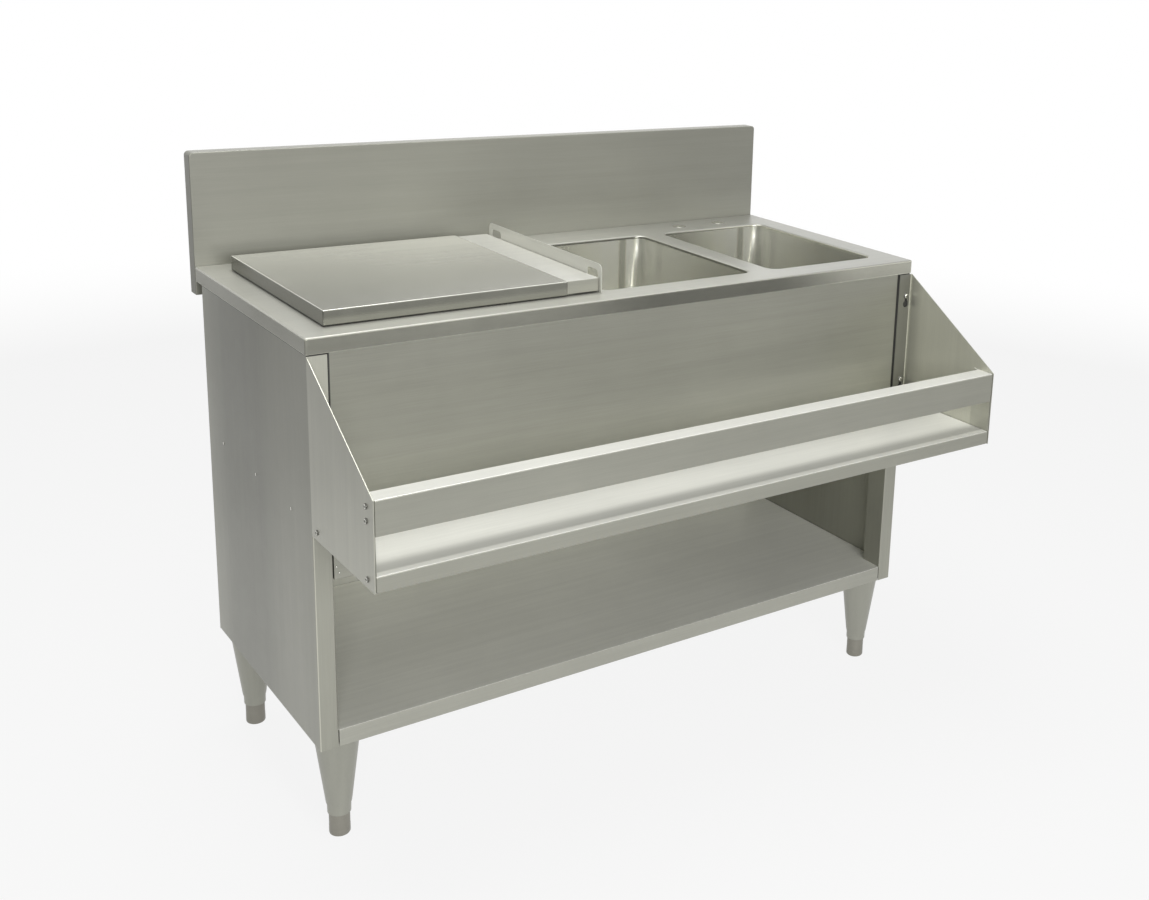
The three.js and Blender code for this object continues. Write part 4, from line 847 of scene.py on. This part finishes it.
cap_steel = stainless("cap_steel", (0.52, 0.52, 0.46), 0.20, "X", streak=0.3, wave=0.0, metal=0.8)
spigot, cap_edge = 0.0107, 0.0005
for side in ("left", "right"):
    low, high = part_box("tap_hole_cap_" + side)
    disc, under = (high.x - low.x) / 2, deck + 0.0003
    dome = [(disc * across, under + cap_edge + (high.z - under - cap_edge) * up)
            for across, up in arc((0, 0), 1, 0, 90)[1:-1]]
    profile = ([(0, low.z), (spigot - 0.0005, low.z), (spigot, low.z + 0.0005), (spigot, under),
                (disc, under), (disc, under + cap_edge)] + dome + [(0, high.z)])
    finished("hole_cap_" + side, turned_mesh(profile, (low + high) / 2, 48), cap_steel, "cabinet",
             "bright_steel", "tap_hole_cap_" + side)

# ---------------------------------------------------------------------------------------------------------
# Bin lid and cover strip: two shallow folded pans that rest on the bin's upstand, edge to edge. Each has no
# rim on the side where they meet, and its corners are welded and ground.


def pan(low, high, *sides):
    """The panels of a shallow pan laid face down: its face and the rims named."""
    (x0, y0, z0), (x1, y1, z1) = low, high
    rims = {
        "front": [(x0, y0, z0), (x1, y0, z0), (x1, y0, z1), (x0, y0, z1)],
        "back": [(x0, y1, z0), (x1, y1, z0), (x1, y1, z1), (x0, y1, z1)],
        "left": [(x0, y0, z0), (x0, y0, z1), (x0, y1, z1), (x0, y1, z0)],
        "right": [(x1, y0, z0), (x1, y0, z1), (x1, y1, z1), (x1, y1, z0)],
    }
    return [[(x0, y0, z1), (x1, y0, z1), (x1, y1, z1), (x0, y1, z1)]] + [rims[side] for side in sides]


cover_fold = 0.0018
low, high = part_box("bin_lid")
# The lid's rims carry painted shade: the left rim darker, and a dark line along their bottom edge for the
# shadow under the lid.
lid_rim_painted_shade = stainless("lid_rim_painted_shade", (0.30, 0.30, 0.26), 0.20, "X", cross="Y", streak=0.4, wave=0.8, metal=0.75,
                      painted_light_ramps=(("X", low.x, low.x + 0.0030, 0.55, 1.0),
                              ("Z", low.z + 0.0007, low.z + 0.0019, 0.08, 1.0)))
# The lid's top takes a lighter copy with painted light: lighter towards the right and the back, and painted
# highlights along its front and left folds.
lid_top_painted_light = stainless(
    "lid_top_painted_light", (0.58, 0.58, 0.525), 0.20, "X", cross="Y", streak=0.6, wave=1.2, metal=0.6,
    painted_light_ramps=(("X", low.x + 0.0035, high.x + 0.0025, 0.82, 1.1),
            ("Y", low.y + 0.0035, high.y - 0.0075, 0.80, 1.34),
            ("Y", low.y + 0.0011, low.y + 0.0021, 1.8, 1.0),
            ("X", low.x + 0.0011, low.x + 0.0021, 1.8, 1.0)))
finished("ice_bin_lid", folded_mesh(pan(low, high, "front", "left", "back"), sheet, cover_fold), lid_rim_painted_shade,
         "lid", "brushed_steel", "bin_lid", painted_light_finish=lid_top_painted_light)

low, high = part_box("cover_strip")
# Painted light: the narrow fronts' steel is a touch lighter to the right.
tray_steel_painted_light = stainless("tray_steel_painted_light", (0.375, 0.375, 0.324), 0.33, "X", cross="Y",
                       painted_light_ramps=(("X", -0.5, 0.5, 1.0, 1.14),))
# The strip's top takes a lighter copy of its steel, painted light.
strip_top_painted_light = stainless("strip_top_painted_light", (0.57, 0.57, 0.52), 0.33, "X", cross="Y", metal=0.3)
finished("narrow_cover", folded_mesh(pan(low, high, "front", "right", "back"), sheet, cover_fold), tray_steel_painted_light,
         "strip", "brushed_steel", "cover_strip", painted_light_finish=strip_top_painted_light)

# ---------------------------------------------------------------------------------------------------------
# Splash plate: a flat stainless plate between the bin and the left bowl. Two tabs drop through the worktop's
# slots, and two finger holes let it be lifted out.

low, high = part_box("splash_plate")
corner, tab, taper, lowest = 0.010, 0.015, 0.001, deck + 0.0003
line = [(low.y, lowest)]
for middle in (low.y + quarter, high.y - quarter):
    line += [(middle - tab, lowest), (middle - tab + taper, low.z), (middle + tab - taper, low.z),
             (middle + tab, lowest)]
line += ([(high.y, lowest)] + arc((high.y - corner, high.z - corner), corner, 0, 90, 9)
         + arc((low.y + corner, high.z - corner), corner, 90, 180, 9))
finger_inset, finger_corner, half_long, half_high, level = 0.030, 0.006, 0.018, 0.009, deck + 0.0295
loops = [[(high.x, py, pz) for py, pz in line]]
for middle in (low.y + finger_inset, high.y - finger_inset):
    hole = rounded((middle - half_long, middle + half_long), (level - half_high, level + half_high),
                   finger_corner, 0, 5)
    loops.append([(high.x, py, pz) for py, pz, _ in hole])
guard_steel = stainless("guard_steel", (0.58, 0.58, 0.53), 0.33, "Y", metal=0.25)
finished("splash_guard", folded_mesh([loops], high.x - low.x, 0), guard_steel, "splash", "brushed_steel",
         "splash_plate")

# ---------------------------------------------------------------------------------------------------------
# Speed rail ends: a sheet plate at each end, sloping down to the front, with a flange folded in at the back.
# Two keyholes in the flange hang on the cabinet's shouldered screws.

low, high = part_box("rail_plate_left")
x0, x1, y0, y1, z0, z1 = low.x, high.x, low.y, high.y, low.z, high.z
end_sheet, end_fold, clear_strip, shoulder = 0.0015, 0.002, 0.004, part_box("rail_band")[1].z
slot, round_hole, drop = 0.0035, 0.007, 0.0164
neck = math.degrees(math.asin(slot / round_hole))
flange_loops = [[(x0 + clear_strip, y1, z0), (x0 + clear_strip, y1, z1), (x1, y1, z1), (x1, y1, z0)]]
for node in ("rail_hanger_upper_left", "rail_hanger_lower_left"):
    centre = sum(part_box(node), Vector()) / 2
    keyhole = (arc((centre.x, centre.z), slot, 0, 180, 9)
               + arc((centre.x, centre.z - drop), round_hole, 90 + neck, 450 - neck, 18))
    flange_loops.append([(px, y1, pz) for px, pz in keyhole])
side_line = [(y0, z0), (y0, shoulder), (y1 - end_sheet, z1), (y1, z1), (y1, z0)]
end_mesh = folded_mesh([
    [(x0, py, pz) for py, pz in side_line],
    [(x0, y1, z0), (x0, y1, z1), (x0 + clear_strip, y1, z1), (x0 + clear_strip, y1, z0)],
    flange_loops,
], end_sheet, end_fold)
rail_steel = stainless("rail_steel", (0.51, 0.51, 0.443), 0.33, "Z", cross="X")
# The right plate's steel has painted reflections and a painted highlight: a darker flange, a bright line at
# its fold and a darker plate beside it.
flange_steel_painted_light = stainless("flange_steel_painted_light", (0.50, 0.50, 0.434), 0.33, "Z", cross="X",
                         painted_light_ramps=(("X", -x0 - 0.0040, -x0 - 0.0032, 0.66, 2.2),
                                 ("X", -x0 - 0.0021, -x0 - 0.0016, 1.0, 0.45),
                                 ("Y", y1 - 0.038, y1 - 0.005, 1.0, 0.8)))
# The plates' up-facing cut edges take the apron's darker steel, painted shade that tones down their
# highlight.
for side, mesh, paint in (("left", end_mesh, rail_steel), ("right", mirrored(end_mesh), flange_steel_painted_light)):
    finished("rail_end_" + side, mesh, paint, "speed_rail", "brushed_steel", "rail_plate_" + side,
             painted_light_finish=apron_steel_painted_light, where=lambda face: face.normal.z > 0.4)

# ---------------------------------------------------------------------------------------------------------
# Speed rail band and tray: the band holds the bottles in at the front, with a flange at its top and long end
# tabs; the tray is a shallow pan turned upside down that they stand on.

low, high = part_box("rail_band")
x0, x1, y0, y1, z0, z1 = low.x, high.x, low.y, high.y, low.z, high.z
face_low, flange_y = z1 - 0.054, y0 + 0.035
# The band's up-facing faces take a much lighter copy of its steel, painted light.
band_top_painted_light = stainless("band_top_painted_light", (0.74, 0.74, 0.69), 0.33, "X", cross="Y", metal=0.2)
band_mesh = folded_mesh([
    [(x0, y0, face_low), (x1, y0, face_low), (x1, y0, z1), (x0, y0, z1)],
    [(x0, y0, z1), (x1, y0, z1), (x1, flange_y, z1), (x0, flange_y, z1)],
    [(x0, y0, z0), (x0, y0, z1), (x0, y1, z1), (x0, y1, z0)],
    [(x1, y0, z0), (x1, y0, z1), (x1, y1, z1), (x1, y1, z0)],
], sheet, fold)
finished("rail_front_band", band_mesh, tray_steel_painted_light, "speed_rail", "brushed_steel", "rail_band",
         painted_light_finish=band_top_painted_light)

low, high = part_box("rail_tray")
# The tray's top takes a much lighter copy, painted light, with a painted shadow of the band's flange in a
# band near its front.
tray_top_painted_light = stainless("tray_top_painted_light", (0.74, 0.74, 0.69), 0.33, "X", cross="Y", metal=0.2,
                      painted_light_ramps=(("Y", low.y + 0.0105, low.y + 0.0175, 1.0, 0.62),
                              ("Y", low.y + 0.0295, low.y + 0.0565, 1.0, 1.55)))
finished("rail_bottle_tray", folded_mesh(pan(low, high, "front", "back", "left", "right"), sheet, fold),
         tray_steel_painted_light, "speed_rail", "brushed_steel", "rail_tray", painted_light_finish=tray_top_painted_light)

# ---------------------------------------------------------------------------------------------------------
# Screws and rivets: cross-recessed pan heads hold the rail's sheets to its end plates, shouldered ones stand
# out of the stiles for the rail to hang on, and small dome rivets fix the apron and the inner brackets.


def fasteners(name, places, body, nodes, head, rise, shank, length, recess=0.0, collar=None):
    """One mesh of like fasteners. A place is a head's seat and the direction it faces, and a collar is its
    radius, where it starts under the head and its length."""
    collar = collar or (shank, 0, 0.001)
    sizes = {"Head radius": head, "Head rise": rise, "Shank radius": shank, "Shank length": length,
             "Recess width": recess, "Collar radius": collar[0], "Collar start": collar[1],
             "Collar length": collar[2]}
    tree, put = shop_tree(name + "_set", {**dict.fromkeys(sizes, "Float"), "Finish": "Material"})
    give = put("NodeGroupInput").outputs

    def shifted(shape, height):
        up = put("ShaderNodeCombineXYZ", {2: height}).outputs[0]
        return put("GeometryNodeTransform", {"Geometry": shape.outputs["Mesh"], "Translation": up}).outputs[0]

    dome = put("GeometryNodeMeshUVSphere", {"Segments": 28, "Rings": 14, "Radius": 1.0}).outputs["Mesh"]
    spot = put("ShaderNodeSeparateXYZ", {0: put("GeometryNodeInputPosition").outputs[0]}).outputs
    out_squared = worked_out(put, "ADD", worked_out(put, "POWER", spot[0], 2.0),
                             worked_out(put, "POWER", spot[1], 2.0))
    crown = worked_out(put, "SUBTRACT", 1.0, worked_out(put, "POWER", out_squared, 2.6))
    above = worked_out(put, "GREATER_THAN", spot[2], 0.001)
    formed = put("ShaderNodeCombineXYZ", {0: worked_out(put, "MULTIPLY", spot[0], give["Head radius"]),
                                          1: worked_out(put, "MULTIPLY", spot[1], give["Head radius"]),
                                          2: worked_out(put, "MULTIPLY", crown, give["Head rise"], above)})
    shape = put("GeometryNodeSetPosition", {"Geometry": dome, "Position": formed.outputs[0]}).outputs[0]
    if recess:
        long = worked_out(put, "MULTIPLY", give["Head radius"], 1.05)
        deep = worked_out(put, "MULTIPLY", give["Head rise"], 1.3)
        cut = put("GeometryNodeMeshBoolean", {"Mesh 1": shape}, operation="DIFFERENCE", solver="EXACT")
        for across, along in ((long, give["Recess width"]), (give["Recess width"], long)):
            size = put("ShaderNodeCombineXYZ", {0: across, 1: along, 2: deep}).outputs[0]
            bar = shifted(put("GeometryNodeMeshCube", {"Size": size}),
                          worked_out(put, "MULTIPLY", give["Head rise"], 1.05))
            tree.links.new(bar, cut.inputs["Mesh 2"])
        shape = cut.outputs["Mesh"]
    parts = put("GeometryNodeJoinGeometry", {"Geometry": shape})
    for radius, start, run in ((give["Shank radius"], 0.0, give["Shank length"]),
                               (give["Collar radius"], give["Collar start"], give["Collar length"])):
        rod = put("GeometryNodeMeshCylinder", {"Vertices": 20, "Radius": radius, "Depth": run})
        middle = worked_out(put, "SUBTRACT", worked_out(put, "MULTIPLY", run, -0.5), start)
        tree.links.new(shifted(rod, middle), parts.inputs["Geometry"])
    facing = put("GeometryNodeInputNamedAttribute", {"Name": "facing"}, data_type="FLOAT_VECTOR")
    turn = put("FunctionNodeAlignRotationToVector", {"Vector": facing.outputs["Attribute"]}, axis="Z")
    laid = put("GeometryNodeInstanceOnPoints", {"Points": give["Geometry"], "Instance": parts.outputs[0],
                                                "Rotation": turn.outputs[0]})
    real = put("GeometryNodeRealizeInstances", {"Geometry": laid.outputs[0]})
    coat = put("GeometryNodeSetMaterial", {"Geometry": real.outputs[0], "Material": give["Finish"]})
    put("NodeGroupOutput", {"Geometry": coat.outputs[0]})

    marks = bpy.data.meshes.new(name + "_marks")
    marks.from_pydata([seat for seat, _ in places], [], [])
    directions = marks.attributes.new("facing", "FLOAT_VECTOR", "POINT")
    for i, (_, way) in enumerate(places):
        directions.data[i].vector = way
    mesh = round_shaded(worked_mesh(marks, tree, {**sizes, "Finish": screw_steel}), 35)
    out = Vector(places[0][1])
    # The heads' sides and the recess walls take painted shade.
    finished(name, mesh, screw_steel, body, "bright_steel", *nodes, painted_light_finish=screw_painted_shade,
             where=lambda face: abs(face.normal.dot(out)) < 0.72)


screw_steel = stainless("screw_steel", (0.68, 0.68, 0.62), 0.20, "X", streak=0.3, wave=0.0, metal=0.95)
# Painted shade: an almost black copy for the screws' head sides and recess walls.
screw_painted_shade = stainless("screw_painted_shade", (0.13, 0.13, 0.115), 0.3, "X", streak=0.3, wave=0.0, metal=0.6)
pan_rise, hanger_rise = 0.0022, 0.003
for side, out in (("left", -1), ("right", 1)):
    nodes = [f"screw_{place}_{side}" for place in ("band_upper", "band_lower", "tray_front", "tray_rear")]
    places = []
    for node in nodes:
        low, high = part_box(node)
        seat = low.x + pan_rise if side == "left" else high.x - pan_rise
        places.append(((seat, (low.y + high.y) / 2, (low.z + high.z) / 2), (out, 0, 0)))
    fasteners("rail_screws_" + side, places, "speed_rail", nodes, 0.0046, pan_rise, 0.002, 0.008, 0.0013)

    nodes = [f"rail_hanger_{place}_{side}" for place in ("upper", "lower")]
    places = []
    for node in nodes:
        low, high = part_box(node)
        places.append((((low.x + high.x) / 2, low.y + hanger_rise, (low.z + high.z) / 2), (0, -1, 0)))
    fasteners("hanging_screws_" + side, places, "cabinet", nodes, 0.0062, hanger_rise, 0.003,
              high.y - low.y - hanger_rise, 0.0017, (0.0055, 0.0024, 0.0014))

low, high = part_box("side_panel_left")
places = [((out * -low.x, low.y + back, high.z - down), (out, 0, 0))
          for back, down in ((0.091, 0.2976), (0.2555, 0.2948), (0.4225, 0.2921)) for out in (-1, 1)]
fasteners("dome_rivets", places, "cabinet", (), 0.0028, 0.0010, 0.0015, 0.0025)
low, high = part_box("apron")
places = [((-out * (low.x + in_x), low.y, low.z + up), (0, -1, 0))
          for in_x, up in ((0.0037, 0.022), (0.0077, 0.011)) for out in (-1, 1)]
fasteners("apron_rivets", places, "cabinet", (), 0.0018, 0.0008, 0.001, 0.0025)
